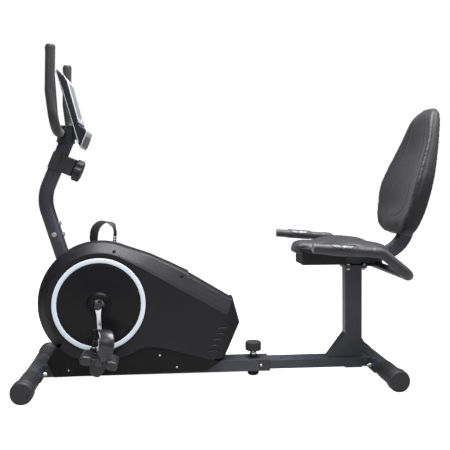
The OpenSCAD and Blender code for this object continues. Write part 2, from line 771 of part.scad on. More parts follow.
module at_left_pedal() at_crank(crank_angle) translate([0, 0, -crank_r])
    rotate([0, crank_angle + left_pedal_tilt, 0]) children();
module at_right_pedal() at_crank(crank_angle + 180) translate([0, 0, -crank_r])
    rotate([0, crank_angle + 180 + right_pedal_tilt, 0]) mirror([0, 1, 0]) children();

module left_pedal() color([0.3, 0.3, 0.32]) placed() at_left_pedal() pedal();
module right_pedal() color([0.3, 0.3, 0.32]) placed() at_right_pedal() pedal();

strap_w = 38;
strap_t = 3;
strap_leg_z = 50;
// middle of the strap along the pedal, and the turn that sets it askew over the foot
strap_s = 8;
strap_turn = 35;
strap_r = pedal_w / 2 + 0.1 + strap_t;

// rubber foot strap: an arch that stands on the pedal, turned about the vertical
module pedal_strap(turn) translate([strap_s, -pedal_y0 - pedal_w / 2, 0]) rotate([0, 0, turn]) {
    translate([-strap_w / 2, 0, strap_leg_z]) rotate([90, 0, 90]) intersection() {
        difference() {
            cylinder(h = strap_w, r = strap_r);
            translate([0, 0, -1]) cylinder(h = strap_w + 2, r = strap_r - strap_t);
        }
        translate([-60, 0, -1]) cube([120, 80, 60]);
    }
    for (y = [-strap_r, strap_r - strap_t])
        block([-strap_w / 2, y, pedal_h / 2 + fixed_gap], [strap_w / 2, y + strap_t, strap_leg_z]);
}

module left_pedal_strap() color([0.13, 0.13, 0.14]) placed() at_left_pedal() pedal_strap(strap_turn);
module right_pedal_strap() color([0.13, 0.13, 0.14]) placed() at_right_pedal() pedal_strap(strap_turn);

// ---------------------------------------------------------------- front post

post_top_z = 838;

// bolts through the post and the upright: [height, direction around the post]
post_bolt_places = [[510, 90], [510, -90], [502, 0], [540, 0]];

module at_post_bolt(p) translate(lower_leg(p[0])) rotate([0, -lower_lean, 0]) rotate([0, 0, p[1]])
    rotate([0, 90, 0]) translate([0, 0, post_r]) children();

module post_bolt_holes() for (p = post_bolt_places) at_post_bolt(p)
    translate([0, 0, -12]) cylinder(h = 24, r = 4 + thread_gap);

module front_post() color([0.25, 0.26, 0.29]) placed() difference() {
    union() {
        difference() {
            bar_along([lower_leg(joint_z + 0.1), [corner_s, 0, corner_z], upper_leg(post_top_z)],
                      post_r, post_bend_r);
            bar_along([lower_leg(joint_z - 1), [corner_s, 0, corner_z], upper_leg(post_top_z - 6)],
                      post_r - wall, post_bend_r);
        }
        // head that carries the handlebar, and the wedge behind it that carries the console
        block([head_s + 0.2, -head_half_w, head_z - 30], [head_s + 34, head_half_w, head_z + 30]);
        slab([[head_s + 30, 842], [146.15, 842], [135.48, 878], [head_s + 30, 878]], -25, 25);
    }
    // room for the clamp in front of the head
    block([head_s - 60, -40, head_z - 30.1], [head_s + 0.2, 40, head_z + 60]);
    y_rod(head_s, head_z, bar_r + fixed_gap, -50, 50);
    post_bolt_holes();
    for (y = [-22, 22]) for (z = [-21, 21]) x_rod(60, head_s + 20, y, head_z + z, 3 + thread_gap);
    // window for the tension cable
    at_tension() translate([0, 0, knob_along]) rotate([0, 90, 0]) cylinder(h = 60, r = 7);
}

// all the M8 bolts of the fixed frame: stabiliser and post
module frame_bolts() color([0.72, 0.72, 0.7]) placed() {
    stabilizer_bolts(0, 1);
    for (p = post_bolt_places) at_post_bolt(p) {
        translate([0, 0, -9]) cylinder(h = 10, r = 4);
        translate([0, 0, 0.15]) cylinder(h = 1.5, r = 8.5);
        translate([0, 0, 1]) cylinder(h = 5, r = 6.5, $fn = 6);
    }
}

module at_tension() translate(upper_leg(box_z)) rotate([0, upper_lean, 0]) children();

module tension_box() color([0.16, 0.16, 0.18]) placed() at_tension() difference() {
    union() {
        cylinder(h = box_l, r = post_r + 3.5);
        hull() for (y = [-1, 1]) for (z = [6, box_l - 6]) {
            translate([10, y * (box_half_w - 6), z]) rotate([0, 90, 0])
                cylinder(h = box_reach - 12, r = 6, $fn = hull_fn);
            translate([10, y * (box_half_w - 9), z]) rotate([0, 90, 0])
                cylinder(h = box_reach - 10, r = 4, $fn = hull_fn);
        }
    }
    translate([0, 0, -5]) cylinder(h = box_l + 10, r = post_r + fixed_gap);
    block([20, -20, 8], [box_reach - 4, 20, box_l - 8]);
    translate([40, 0, knob_along]) rotate([0, 90, 0]) cylinder(h = 40, r = 6 + run_gap);
}

module tension_knob() color([0.14, 0.14, 0.16]) placed() at_tension()
    translate([box_reach + 1.5, 0, knob_along])
    rotate([0, 90, 0]) {
        fluted_knob(knob_r, knob_h, 8, 9);
        translate([0, 0, -18]) cylinder(h = 19, r = 6);
    }

// handlebar path, in the plane through the head and the two tips
function bar_path(tip_z) = [
    [bar_tip_s, -handlebar_w / 2, tip_z], [head_s, -handlebar_w / 2, head_z],
    [head_s, handlebar_w / 2, head_z], [bar_tip_s, handlebar_w / 2, tip_z]
];

module handlebar() color([0.2, 0.2, 0.22]) placed() tube_along(bar_path(handlebar_z - 8), bar_r, bar_bend_r);

module handlebar_clamp() color([0.15, 0.15, 0.16]) placed() difference() {
    block([head_s - 18, -head_half_w, head_z - 30], [head_s - 0.2, head_half_w, head_z + 30]);
    y_rod(head_s, head_z, bar_r + fixed_gap, -50, 50);
    for (y = [-22, 22]) for (z = [-21, 21]) x_rod(60, head_s + 20, y, head_z + z, 3 + thread_gap);
}

module clamp_screws() color([0.6, 0.6, 0.6]) placed() for (y = [-22, 22]) for (z = [-21, 21]) {
    x_rod(head_s - 18, head_s + 12, y, head_z + z, 3);
    x_rod(head_s - 23, head_s - 18 - fixed_gap, y, head_z + z, 6);
}

module handlebar_grips() color([0.1, 0.1, 0.1]) placed() mirrored_y() difference() {
    top = [bar_tip_s, -handlebar_w / 2, handlebar_z - 8];
    corner = [head_s, -handlebar_w / 2, head_z];
    union() {
        bar_along([top, corner, [head_s, -handlebar_w / 2 + 92, head_z]], grip_r, bar_bend_r);
        intersection() {
            translate(top + [0, 0, -6]) sphere(r = grip_r + 1);
            translate(top) rod([0, 0, -1], [0, 0, 8], grip_r);
        }
    }
    bar_along(longer([top, corner, [head_s, 0, head_z]], 0.2), bar_r + fixed_gap, bar_bend_r);
}

// ---------------------------------------------------------------- console

module at_console() translate([console_s, 0, console_z]) rotate([0, -console_lean, 0]) children();

face_t = 3;
face_side = [for (p = console_profile) if (p[0] >= 0) p];
window_z0 = 104;
window_z1 = 226;
window_half_w = 58;
key_r = 7;
key_pitch = 34;
key_angle = 180 - atan2(console_profile[1][1], console_profile[1][0]);

// the layer of thickness t under the console's front surface
module front_skin(t, half_w) difference() {
    slab(face_side, -half_w, half_w);
    translate([-t, 0, 0]) slab(concat([[-20, -20]], face_side, [[-20, 290]]), -half_w - 1, half_w + 1);
}

// the keys sit on the console's lower slope and move square to it
module at_key(y) translate([17, y, 22]) rotate([0, key_angle, 0]) children();

module key_holes(r) for (y = [-key_pitch, 0, key_pitch])
    at_key(y) translate([0, 0, -6]) cylinder(h = 20, r = r);

// side view of the shell: the console's own without the face's thickness at the front
shell_profile = concat(
    [[-3, 20], [-0.4, 4]],
    [for (i = [1 : 9]) console_profile[i] - [face_t + fixed_gap, 0]],
    [[0.8, 271], [-3, 262]]
);

module console_shell() color([0.1, 0.1, 0.13]) placed() at_console() difference() {
    slab(shell_profile, -console_half_w, console_half_w);
    slab([[2, 14], [24, 42], [27, 52], [13, 80], [13, 232], [3, 250], [0, 20]],
         -console_half_w + 3, console_half_w - 3);
    // way in for the cable, behind the post's head
    x_rod(-10, 8, 0, 57, 6);
    key_holes(key_r + 0.3);
}

module console_face() color([0.75, 0.76, 0.78]) placed() at_console() difference() {
    front_skin(face_t, console_half_w);
    block([-5, -window_half_w, window_z0], [40, window_half_w, window_z1]);
    key_holes(key_r + 0.2);
}

module console_lens() color([0.08, 0.12, 0.14]) placed() at_console()
    slab([[17.6, window_z0 + 0.2], [19.5, window_z0 + 0.2], [22, window_z1 - 0.2], [20.1, window_z1 - 0.2]],
         -window_half_w + 0.2, window_half_w - 0.2);

module key(y) placed() at_console() at_key(y) translate([0, 0, -3]) cylinder(h = 6, r = key_r);
module mode_button() color([0.3, 0.3, 0.32]) key(-key_pitch);
module set_button() color([0.3, 0.3, 0.32]) key(0);
module reset_button() color([0.3, 0.3, 0.32]) key(key_pitch);

// ---------------------------------------------------------------- seat side

module rail_holes() for (i = [-3 : 3])
    translate([lock_s + i * hole_pitch, 0, rail_top - 10]) cylinder(h = 20, r = lock_pin_r + 0.5);

module seat_rail() color([0.25, 0.26, 0.29]) placed() {
    difference() {
        union() {
            box_tube(rail_front_s, wheelbase - 22, rail_w, rail_h, rail_z);
            difference() {
                block([seat_post_s, -seat_post_w / 2, 19],
                      [seat_post_s + seat_post_l, seat_post_w / 2, seat_post_top]);
                block([seat_post_s + wall, -seat_post_w / 2 + wall, 0],
                      [seat_post_s + seat_post_l - wall, seat_post_w / 2 - wall, seat_post_top + 1]);
            }
        }
        y_rod(wheelbase, axis_z, saddle_r - 1, -beam_w, beam_w);
        rail_holes();
    }
    difference() {
        slab([[1030, rail_top - 1], [seat_post_s + 1, 145], [seat_post_s + 1, rail_top - 1]],
             -seat_post_w / 2, seat_post_w / 2);
        slab([[1045, rail_top - 2], [seat_post_s + 2, 128], [seat_post_s + 2, rail_top - 2]],
             -seat_post_w / 2 + wall, seat_post_w / 2 - wall);
    }
    saddle(wheelbase, -1);
    difference() {
        block([seat_post_s - 4, -36, seat_post_top - 1], [seat_post_s + seat_post_l + 14, 36, bracket_z]);
        plate_bolts() cylinder(h = 40, r = 4 + thread_gap, center = true);
    }
}

// places of the four bolts between the post's top plate and the bracket
module plate_bolts() for (y = [-30, 30]) for (s = [seat_post_s + 8, seat_post_s + 66])
    translate([s, y, bracket_z]) children();

module seat_frame_bolts() color([0.72, 0.72, 0.7]) placed() {
    stabilizer_bolts(wheelbase, -1);
    plate_bolts() {
        translate([0, 0, -14]) cylinder(h = 20, r = 4);
        translate([0, 0, 4 + fixed_gap]) cylinder(h = 5, r = 6.5, $fn = 6);
        translate([0, 0, -top_plate_t - 1 - 6.5 - fixed_gap]) cylinder(h = 6.5, r = 6.5, $fn = 6);
    }
}

module seat_bracket() color([0.25, 0.26, 0.29]) placed() difference() {
    union() {
        block([seat_post_s - 6, -36, bracket_z + fixed_gap], [1200, 36, bracket_z + 4]);
        for (y = [-spar_w / 2 - 4, spar_w / 2 - 0.5])
            slab([[seat_post_s - 6, bracket_z + 1], [seat_post_s - 6, spar_z + 18], [1200, spar_z + 18],
                  [1226, spar_z + 8], [cross_s + 18, cross_z + 6], [cross_s, cross_z - 2],
                  [1196, bracket_z + 1]],
                 y, y + 4.5);
        spar();
        // ears under the seat pan
        for (s = [seat_post_s + 2, 1168]) for (y = [-72, spar_w / 2 + 2])
            block([s, y, spar_z + 17], [s + 28, y + 51, spar_z + 21]);
    }
    y_rod(cross_s, cross_z, side_bar_r + fixed_gap, -60, 60);
    plate_bolts() cylinder(h = 12, r = 4 + thread_gap, center = true);
}

// curved rectangular tube from under the seat to the back of the backrest
module spar() difference() {
    slab(spar_side(0, 0), -spar_w / 2, spar_w / 2);
    slab(spar_side(wall, 1), -spar_w / 2 + wall, spar_w / 2 - wall);
}

// side view of the spar, made thinner by inset all round and longer by extra at its front end
function spar_side(inset, extra) = let (
    h = spar_h / 2 - inset,
    bend_centre = [spar_bend_s, spar_z + spar_bend_r],
    up = [sin(back_lean), cos(back_lean)],
    top = [back_s, back_z] + up * (spar_up_l - inset),
    across = [cos(back_lean), -sin(back_lean)]
) concat(
    [[seat_post_s - extra, spar_z + h], [seat_post_s - extra, spar_z - h]],
    arc_points(bend_centre, spar_bend_r + h, -90, -back_lean, 20),
    [top + across * h, top - across * h],
    arc_points(bend_centre, spar_bend_r - h, -back_lean, -90, 20)
);

// half width of the seat cushion at s: narrow nose, wide middle, narrower tail
function seat_half(s) = let (u = (s - seat_s0) / (seat_s1 - seat_s0))
    seat_w / 2 * pow(max(0, 1 - pow(abs(2 * u - 1), 3.4)), 0.42)
    * (0.66 + 0.34 * sin(180 * min(1, u * 1.05)));
seat_steps = 36;
function seat_station(i, inset) =
    seat_s0 + inset + (seat_s1 - seat_s0 - 2 * inset) * (1 - cos(180 * i / seat_steps)) / 2;
function seat_outline(inset) = concat(
    [for (i = [0 : seat_steps]) let (s = seat_station(i, inset))
        [s, max(0, seat_half(s) - inset)]],
    [for (i = [seat_steps - 1 : -1 : 1]) let (s = seat_station(i, inset))
        [s, -max(0, seat_half(s) - inset)]]
);
seat_profile = [
    [seat_s0, cushion_z], [seat_s0 - 1, cushion_z + 16], [seat_s0 + 8, 474], [930, 479], [968, 481],
    [1005, 488],
    [1050, 491], [1110, 491], [1150, 484], [1178, 472], [1238, 469], [seat_s1, 456], [seat_s1, cushion_z]
];

module seat_cushion() color([0.22, 0.22, 0.24]) placed() difference() {
    intersection() {
        translate([0, 0, cushion_z]) linear_extrude(60) polygon(seat_outline(0));
        slab(seat_profile, -200, 200);
    }
    // pocket for the pan, and a notch for the spar
    linear_extrude(board_z + board_t + 0.1) polygon(seat_outline(rim));
    spar_notch();
}

// room for the spar where it curves up past the rear of the seat
module spar_notch() block([1200, -spar_w / 2 - 3, 0], [seat_s1 + 50, spar_w / 2 + 3, board_z + 8]);

module seat_pan() color([0.1, 0.1, 0.11]) placed() {
    difference() {
        translate([0, 0, board_z]) linear_extrude(board_t) polygon(seat_outline(rim + 1.5));
        spar_notch();
    }
    difference() {
        hull() for (y = [-1, 1]) {
            translate([pan_s0 + 8, y * (pan_half_w - 8), pan_z])
                cylinder(h = board_z - pan_z + 1, r = 8, $fn = hull_fn);
            translate([seat_post_s - 17, y * (pan_half_w - 8), pan_z])
                cylinder(h = board_z - pan_z + 1, r = 8, $fn = hull_fn);
        }
        block([pan_s0 + 4, -pan_half_w + 4, pan_z + 4], [seat_post_s - 13, pan_half_w - 4, board_z + 0.1]);
    }
}

// path of the side handles: from one tip, down behind the post and up to the other tip
side_tip = [side_tip_s, side_tip_z];
side_bend = [side_bend_s, side_bend_z];
handle_start = side_tip + 6 * unit(side_bend - side_tip);
handle_path = [for (side = [-1, 1]) for (i = [0 : 2])
    let (p = [handle_start, side_bend, [cross_s, cross_z]][side < 0 ? i : 2 - i])
        [p[0], side * handle_gap / 2, p[1]]
];

module seat_handle() color([0.2, 0.2, 0.22]) placed() tube_along(handle_path, side_bar_r, 40);

module pulse_grips() color([0.12, 0.12, 0.13]) placed() mirrored_y() difference() {
    tip = [side_tip_s, -handle_gap / 2, side_tip_z];
    bend = handle_path[1];
    along = unit(bend - tip);
    union() {
        rod(tip, tip + along * 200, side_grip_r);
        // bulge that carries the two sensor plates
        rod(tip + along * 44, tip + along * 140, side_grip_r + 2);
    }
    rod(tip + along * 5, tip + along * 300, side_bar_r + fixed_gap);
}

// ---------------------------------------------------------------- backrest

// half width of the backrest at height z above its own origin: egg shaped, widest low down
function back_half(z) = let (u = (z - back_low) / (back_high - back_low))
    backrest_w / 2 * sqrt(max(0, 1 - pow(abs(2 * u - 1), 12)))
    * (u < 0.38 ? 1 - 1.1 * pow(0.38 - u, 1.3) : 1 - 0.884 * (u - 0.38));
back_steps = 40;
function back_outline(inset) = let (z0 = back_low + inset, span = back_high - back_low - 2 * inset) concat(
    [for (i = [0 : back_steps]) let (z = z0 + span * (1 - cos(180 * i / back_steps)) / 2)
        [max(0, back_half(z) - inset), z]],
    [for (i = [back_steps - 1 : -1 : 1]) let (z = z0 + span * (1 - cos(180 * i / back_steps)) / 2)
        [-max(0, back_half(z) - inset), z]]
);
// side view of the cushion's front, from the bottom to the top
back_front = [[-64, -20], [-68, 2], [-73, 66], [-78, 119], [-80, 170], [-73, 242], [-66, 313], [-64, 384],
              [-62, 440], [-50, 461]];

module at_back() translate([back_s, 0, back_z]) rotate([0, back_lean, 0]) children();

// the backrest outline as a plate from x0 to x1
module back_plate(inset, x0, x1) translate([x0, 0, 0]) rotate([90, 0, 90])
    linear_extrude(x1 - x0) polygon(back_outline(inset));

// room for the spar where it curves away under the backrest
module back_notch() block([back_plane - 6, -spar_w / 2 - 3, -60], [back_plane + 6, spar_w / 2 + 3, 3]);

module backrest_board() color([0.08, 0.08, 0.09]) placed() at_back() difference() {
    back_plate(rim + 1.5, back_plane - board_t - 0.1, back_plane - 0.1);
    back_notch();
}

module backrest_cushion() color([0.25, 0.25, 0.28]) placed() at_back() difference() {
    intersection() {
        back_plate(0, -100, back_plane);
        slab(concat(back_front, [[back_plane + 1, 461], [back_plane + 1, -28], [-52, -28]]), -300, 300);
    }
    back_plate(rim, back_plane - board_t - 0.2, back_plane + 1);
    back_notch();
}

// ---------------------------------------------------------------- seat lock

module lock_knob() color([0.12, 0.12, 0.13]) placed() translate([lock_s, 0, lock_knob_z]) difference() {
    fluted_knob(lock_knob_d / 2, lock_knob_h, 18, 3.4);
    translate([0, 0, -1]) cylinder(h = 21.1, r = 4 + fixed_gap);
}

module lock_pin() color([0.75, 0.75, 0.76]) placed() translate([lock_s, 0, 0]) {
    translate([0, 0, rail_top - 9]) cylinder(h = beam_top + 5 - rail_top + 9, r = lock_pin_r);
    translate([0, 0, beam_top + 4]) cylinder(h = 2, r = 6.4);
    translate([0, 0, beam_top + 5]) cylinder(h = lock_knob_z + 20 - beam_top - 5, r = 4);
}

// compression spring above the pin's collar
module lock_spring() color([0.6, 0.6, 0.6]) placed() {
    turns = 4;
    wire_r = 0.5;
    z0 = beam_top + 6.1 + wire_r;
    z1 = gland_top - 2.5 - wire_r;
    for (i = [0 : turns - 1])
        translate([lock_s, 0, z0 + (z1 - z0) * i / (turns - 1)])
            rotate_extrude() translate([5.4, 0]) circle(wire_r);
}

// ---------------------------------------------------------------- nodes

main_frame();
front_stabilizer();
front_end_caps();
frame_bolts();
middle_foot();
rail_sleeve();
pin_gland();
left_housing();
right_housing();
lower_covers();
cover_screws();
ring_trims();
disc_covers();
crank_axle();
crank_bearings();
crank_arms();
crank_caps();
pedal_spindles();
drive_pulley();
drive_belt();
flywheel();
flywheel_axle();
idler_wheel();
idler_arm();
magnet_arm();
brake_magnets();
magnet_arm_pin();
tension_cable();
left_pedal();
right_pedal();
left_pedal_strap();
right_pedal_strap();
front_post();
tension_box();
tension_knob();
handlebar();
handlebar_clamp();
clamp_screws();
handlebar_grips();
console_shell();
console_face();
console_lens();
mode_button();
set_button();
reset_button();
seat_rail();
rear_stabilizer();
rear_end_caps();
seat_frame_bolts();
lock_knob();
lock_pin();
lock_spring();
seat_bracket();
seat_pan();
seat_cushion();
seat_handle();
pulse_grips();
backrest_board();
backrest_cushion();
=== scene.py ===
import functools
import json
import math

import bmesh
import bpy
from mathutils import Matrix, Vector


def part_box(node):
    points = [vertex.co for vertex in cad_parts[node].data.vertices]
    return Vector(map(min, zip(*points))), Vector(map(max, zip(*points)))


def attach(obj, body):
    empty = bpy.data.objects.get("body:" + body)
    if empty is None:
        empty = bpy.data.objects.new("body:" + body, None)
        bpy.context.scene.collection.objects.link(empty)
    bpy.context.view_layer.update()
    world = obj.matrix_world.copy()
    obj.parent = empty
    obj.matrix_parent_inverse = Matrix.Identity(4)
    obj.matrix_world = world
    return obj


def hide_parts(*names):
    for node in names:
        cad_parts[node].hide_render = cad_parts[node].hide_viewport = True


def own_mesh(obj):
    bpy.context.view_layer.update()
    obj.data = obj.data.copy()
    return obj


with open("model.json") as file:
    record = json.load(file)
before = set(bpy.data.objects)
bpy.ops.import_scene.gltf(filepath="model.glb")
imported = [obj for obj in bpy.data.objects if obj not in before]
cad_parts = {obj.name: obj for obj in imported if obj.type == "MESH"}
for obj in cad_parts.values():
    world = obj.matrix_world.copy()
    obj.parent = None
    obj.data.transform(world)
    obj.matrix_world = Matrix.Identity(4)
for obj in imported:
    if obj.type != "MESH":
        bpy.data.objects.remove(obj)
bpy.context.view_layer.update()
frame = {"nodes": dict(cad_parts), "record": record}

MM = 0.001
# Places are given as (s, y, z) in millimetres: s is the distance behind the front stabiliser's axis.
front_low, front_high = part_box("front_stabilizer")
FRONT_X = (front_low.x + front_high.x) / 2

SIDEWAYS = Vector((0, 1, 0))


def place(s, y, z):
    """A point of the bike as a vector in the row frame, in metres."""
    return Vector((FRONT_X + s * MM, y * MM, z * MM))


def cosd(a):
    return math.cos(math.radians(a))


def sind(a):
    return math.sin(math.radians(a))


def smooth(x, low, high):
    """Rises from 0 at low to 1 at high with a level start and end."""
    t = min(1.0, max(0.0, (x - low) / (high - low)))
    return t * t * (3 - 2 * t)


def bell(x, width):
    """1 at x = 0, falling away on both sides over about the given width."""
    return math.exp(-(x / width) ** 2)


def squarish(x, power):
    """x, from -1 to 1, pushed outwards, so that a circle drawn with it turns into a rounded square."""
    return math.copysign(abs(x) ** power, x)


# ---------------------------------------------------------------- materials

BLACK = (0, 0, 0)
WHITE = (1, 1, 1)


class Nodes:
    """A node material under construction."""

    def __init__(self, name):
        self.material = bpy.data.materials.new(name)
        self.material.use_nodes = True
        self.tree = self.material.node_tree
        self.shader = self.tree.nodes["Principled BSDF"]
        self.place = self.add("ShaderNodeTexCoord", {}).outputs["Object"]

    def feed(self, node, inputs):
        """Sets a node's inputs by name; a socket among the values is linked."""
        for name, value in inputs.items():
            if isinstance(value, bpy.types.NodeSocket):
                self.tree.links.new(value, node.inputs[name])
            else:
                node.inputs[name].default_value = value

    def add(self, kind, inputs, **settings):
        node = self.tree.nodes.new(kind)
        for key, value in settings.items():
            setattr(node, key, value)
        self.feed(node, inputs)
        return node

    def noise(self, scale, detail, stretch=None):
        where = self.place
        if stretch:
            where = self.add("ShaderNodeMapping", {"Vector": where, "Scale": stretch}).outputs["Vector"]
        inputs = {"Vector": where, "Scale": scale, "Detail": detail}
        return self.add("ShaderNodeTexNoise", inputs).outputs["Fac"]

    def cells(self, scale):
        return self.add("ShaderNodeTexVoronoi", {"Vector": self.place, "Scale": scale}).outputs["Distance"]

    def ramp(self, value, low, high, a, b):
        """A colour that goes from a to b while value goes from low to high."""
        node = self.add("ShaderNodeValToRGB", {"Fac": value})
        for element, position, colour in zip(node.color_ramp.elements, (low, high), (a, b)):
            element.position = position
            element.color = (*colour, 1)
        return node.outputs["Color"]

    def mottled(self, colour, dark, pale, scale, detail, high=0.7):
        """colour in soft patches, from dark times to pale times as bright."""
        return self.ramp(self.noise(scale, detail), 0.3, high, scaled(colour, dark), scaled(colour, pale))

    def span(self, value, low, high):
        """value, which runs from 0 to 1, mapped to low..high."""
        inputs = {"Value": value, "To Min": low, "To Max": high}
        return self.add("ShaderNodeMapRange", inputs).outputs["Result"]

    def mix(self, factor, a, b, kind="MIX"):
        inputs = {"Fac": factor, "Color1": a, "Color2": b}
        return self.add("ShaderNodeMixRGB", inputs, blend_type=kind).outputs["Color"]

    def worn_edges(self, colour, worn):
        """colour, with the worn colour where the surface is sharply convex."""
        pointy = self.add("ShaderNodeNewGeometry", {}).outputs["Pointiness"]
        return self.mix(self.ramp(pointy, 0.53, 0.62, BLACK, WHITE), colour, (*worn, 1))

    def relief(self, layers, edge=0.0):
        """Bump layers, each (height, strength, distance in metres), over edges rounded by edge metres."""
        inputs = {}
        if edge:
            inputs["Normal"] = self.add("ShaderNodeBevel", {"Radius": edge}, samples=4).outputs["Normal"]
        for height, strength, distance in layers:
            inputs.update({"Height": height, "Strength": strength, "Distance": distance})
            inputs["Normal"] = self.add("ShaderNodeBump", inputs).outputs["Normal"]
        self.feed(self.shader, {"Normal": inputs["Normal"]})


def scaled(colour, k):
    return tuple(min(1.0, c * k) for c in colour)


def coated(name, colour, roughness, grain=900, grain_depth=0.00006, spread=0.18, metallic=0.0,
           coat=0.0, edge=0.0, shine=0.35, wear=1.25):
    """Paint or moulded plastic: mottled colour, uneven gloss, fine grain, slightly paler edges."""
    n = Nodes(name)
    tint = n.mottled(colour, 1 - spread, 1 + spread, 14, 4)
    n.feed(n.shader, {"Base Color": n.worn_edges(tint, scaled(colour, wear)),
                      "Roughness": n.span(n.noise(55, 5), roughness - 0.09, roughness + 0.09),
                      "Metallic": metallic, "Coat Weight": coat, "Coat Roughness": 0.18,
                      "Specular IOR Level": shine})
    n.relief([(n.noise(grain, 2), 0.5, grain_depth), (n.noise(70, 3), 0.12, 0.0004)], edge)
    return n.material


def bare_metal(name, colour, roughness, scratch=(1, 1, 1), depth=0.00003):
    """Bare or plated metal with fine directional scratches and dull patches."""
    n = Nodes(name)
    n.feed(n.shader, {"Base Color": n.mottled(colour, 0.86, 1.06, 25, 4), "Metallic": 1.0,
                      "Roughness": n.span(n.noise(90, 6), roughness * 0.6, roughness * 1.5)})
    n.relief([(n.noise(600, 2, scratch), 0.4, depth)], 0.0004)
    return n.material


def vinyl(name, colour, roughness):
    """Upholstery vinyl: pebbled grain, fine creases, soft sheen."""
    n = Nodes(name)
    pores = n.ramp(n.cells(700), 0.0, 0.35, (0.55, 0.55, 0.55), WHITE)
    tint = n.mottled(colour, 0.88, 1.14, 9, 3, high=0.75)
    n.feed(n.shader, {"Base Color": n.mix(0.6, tint, pores, "MULTIPLY"),
                      "Roughness": n.span(n.noise(40, 4), roughness - 0.08, roughness + 0.1),
                      "Sheen Weight": 0.05, "Specular IOR Level": 0.28})
    n.relief([(n.cells(620), 0.45, 0.00018), (n.noise(160, 5), 0.25, 0.0003), (n.noise(22, 3), 0.15, 0.0012)])
    return n.material


def foam(name, colour):
    """Closed-cell foam sleeve: tiny pits, very dull."""
    n = Nodes(name)
    n.feed(n.shader, {"Base Color": n.mottled(colour, 0.85, 1.2, 30, 4),
                      "Roughness": n.span(n.noise(200, 3), 0.42, 0.62), "Sheen Weight": 0.15})
    n.relief([(n.cells(900), 0.55, 0.00022), (n.noise(60, 3), 0.2, 0.0006)])
    return n.material


def ribbed(name, colour, roughness, pitch, direction):
    """Moulded plastic with fine parallel ribs, pitch metres apart, across the given direction."""
    n = Nodes(name)
    n.feed(n.shader, {"Base Color": n.mottled(colour, 0.85, 1.2, 20, 4),
                      "Roughness": n.span(n.noise(55, 5), roughness - 0.08, roughness + 0.1),
                      "Specular IOR Level": 0.2})
    # a wave texture has about 3.2 bands to the metre at a scale of 1
    wave = n.add("ShaderNodeTexWave", {"Vector": n.place, "Scale": 1 / pitch / 3.2, "Distortion": 0.3},
                 bands_direction=direction)
    n.relief([(wave.outputs["Fac"], 0.6, 0.0004), (n.noise(900, 2), 0.4, 0.0001)])
    return n.material


def smoked_glass(name):
    """Dark pane whose colour turns pale where it is seen along its surface: a painted reflection of the
    bright room.
    """
    n = Nodes(name)
    tint = n.ramp(n.noise(12, 3), 0.3, 0.7, (0.012, 0.03, 0.034), (0.022, 0.05, 0.055))
    painted_reflection_mask = n.add("ShaderNodeLayerWeight", {"Blend": 0.5}).outputs["Facing"]
    # painted reflection: the colour is mixed towards pale grey where the pane is seen at a glancing angle
    n.feed(n.shader, {"Base Color": n.mix(n.ramp(painted_reflection_mask, 0.55, 0.8, BLACK, WHITE), tint, (0.5, 0.52, 0.54, 1)),
                      "Roughness": n.span(n.noise(70, 5), 0.05, 0.16), "Coat Weight": 0.8})
    n.relief([(n.noise(40, 2), 0.05, 0.0003)])
    return n.material


LOOKS = {}


def add_look(name, make, *values, **settings):
    """Makes a material and keeps it under its name."""
    LOOKS[name] = make(name, *values, **settings)


add_look("frame_paint", coated, (0.026, 0.028, 0.036), 0.42, grain=1400, grain_depth=0.00005, coat=0.15,
         edge=0.0012)
add_look("grip_tube_paint", coated, (0.022, 0.022, 0.027), 0.4, coat=0.15, edge=0.0008)
add_look("cap_plastic", coated, (0.018, 0.018, 0.021), 0.5, grain=1100, grain_depth=0.0001, edge=0.0012)
add_look("housing_plastic", coated, (0.0065, 0.0065, 0.0088), 0.45, grain=1500, shine=0.25, edge=0.001)
add_look("cover_plastic", ribbed, (0.0022, 0.0022, 0.003), 0.5, 0.004, "X")
add_look("ring_plastic", coated, (0.56, 0.61, 0.70), 0.32, spread=0.03, wear=1.05)
add_look("disc_plastic", coated, (0.002, 0.002, 0.003), 0.38, grain=700, shine=0.2, coat=0.08)
add_look("bright_steel", bare_metal, (0.62, 0.61, 0.58), 0.32)
add_look("crank_chrome", bare_metal, (0.78, 0.79, 0.80), 0.12, depth=0.00001)
add_look("plate_steel", bare_metal, (0.085, 0.087, 0.092), 0.34)
add_look("pulley_plastic", coated, (0.03, 0.03, 0.03), 0.5, edge=0.0006)
add_look("belt_rubber", ribbed, (0.012, 0.012, 0.012), 0.6, 0.002, "Y")
add_look("flywheel_iron", bare_metal, (0.28, 0.28, 0.29), 0.45, scratch=(1, 9, 1), depth=0.0001)
add_look("magnet_ferrite", coated, (0.05, 0.05, 0.05), 0.55)
add_look("pedal_plastic", coated, (0.016, 0.016, 0.018), 0.38, grain=600, grain_depth=0.00015, coat=0.1,
         wear=1.8)
add_look("strap_rubber", coated, (0.014, 0.014, 0.016), 0.3, grain=500, grain_depth=0.0001, coat=0.2,
         wear=1.6)
add_look("foot_rubber", coated, (0.008, 0.008, 0.008), 0.6, grain=500, edge=0.001)
add_look("foam_grip", foam, (0.009, 0.009, 0.012))
add_look("console_dark", coated, (0.008, 0.008, 0.014), 0.4, grain=1300, edge=0.001)
add_look("console_silver", coated, (0.50, 0.52, 0.55), 0.34, grain=1500, grain_depth=0.00004, spread=0.04,
         metallic=0.35, edge=0.0008, wear=1.1)
add_look("console_window", smoked_glass)
add_look("key_grey", coated, (0.10, 0.105, 0.12), 0.5, edge=0.0008)
add_look("seat_vinyl", vinyl, (0.020, 0.020, 0.024), 0.46)
add_look("back_vinyl", vinyl, (0.0115, 0.0115, 0.0145), 0.5)
add_look("board_black", coated, (0.005, 0.005, 0.006), 0.55, grain=500, grain_depth=0.0002, edge=0.0015)

# ---------------------------------------------------------------- mesh helpers

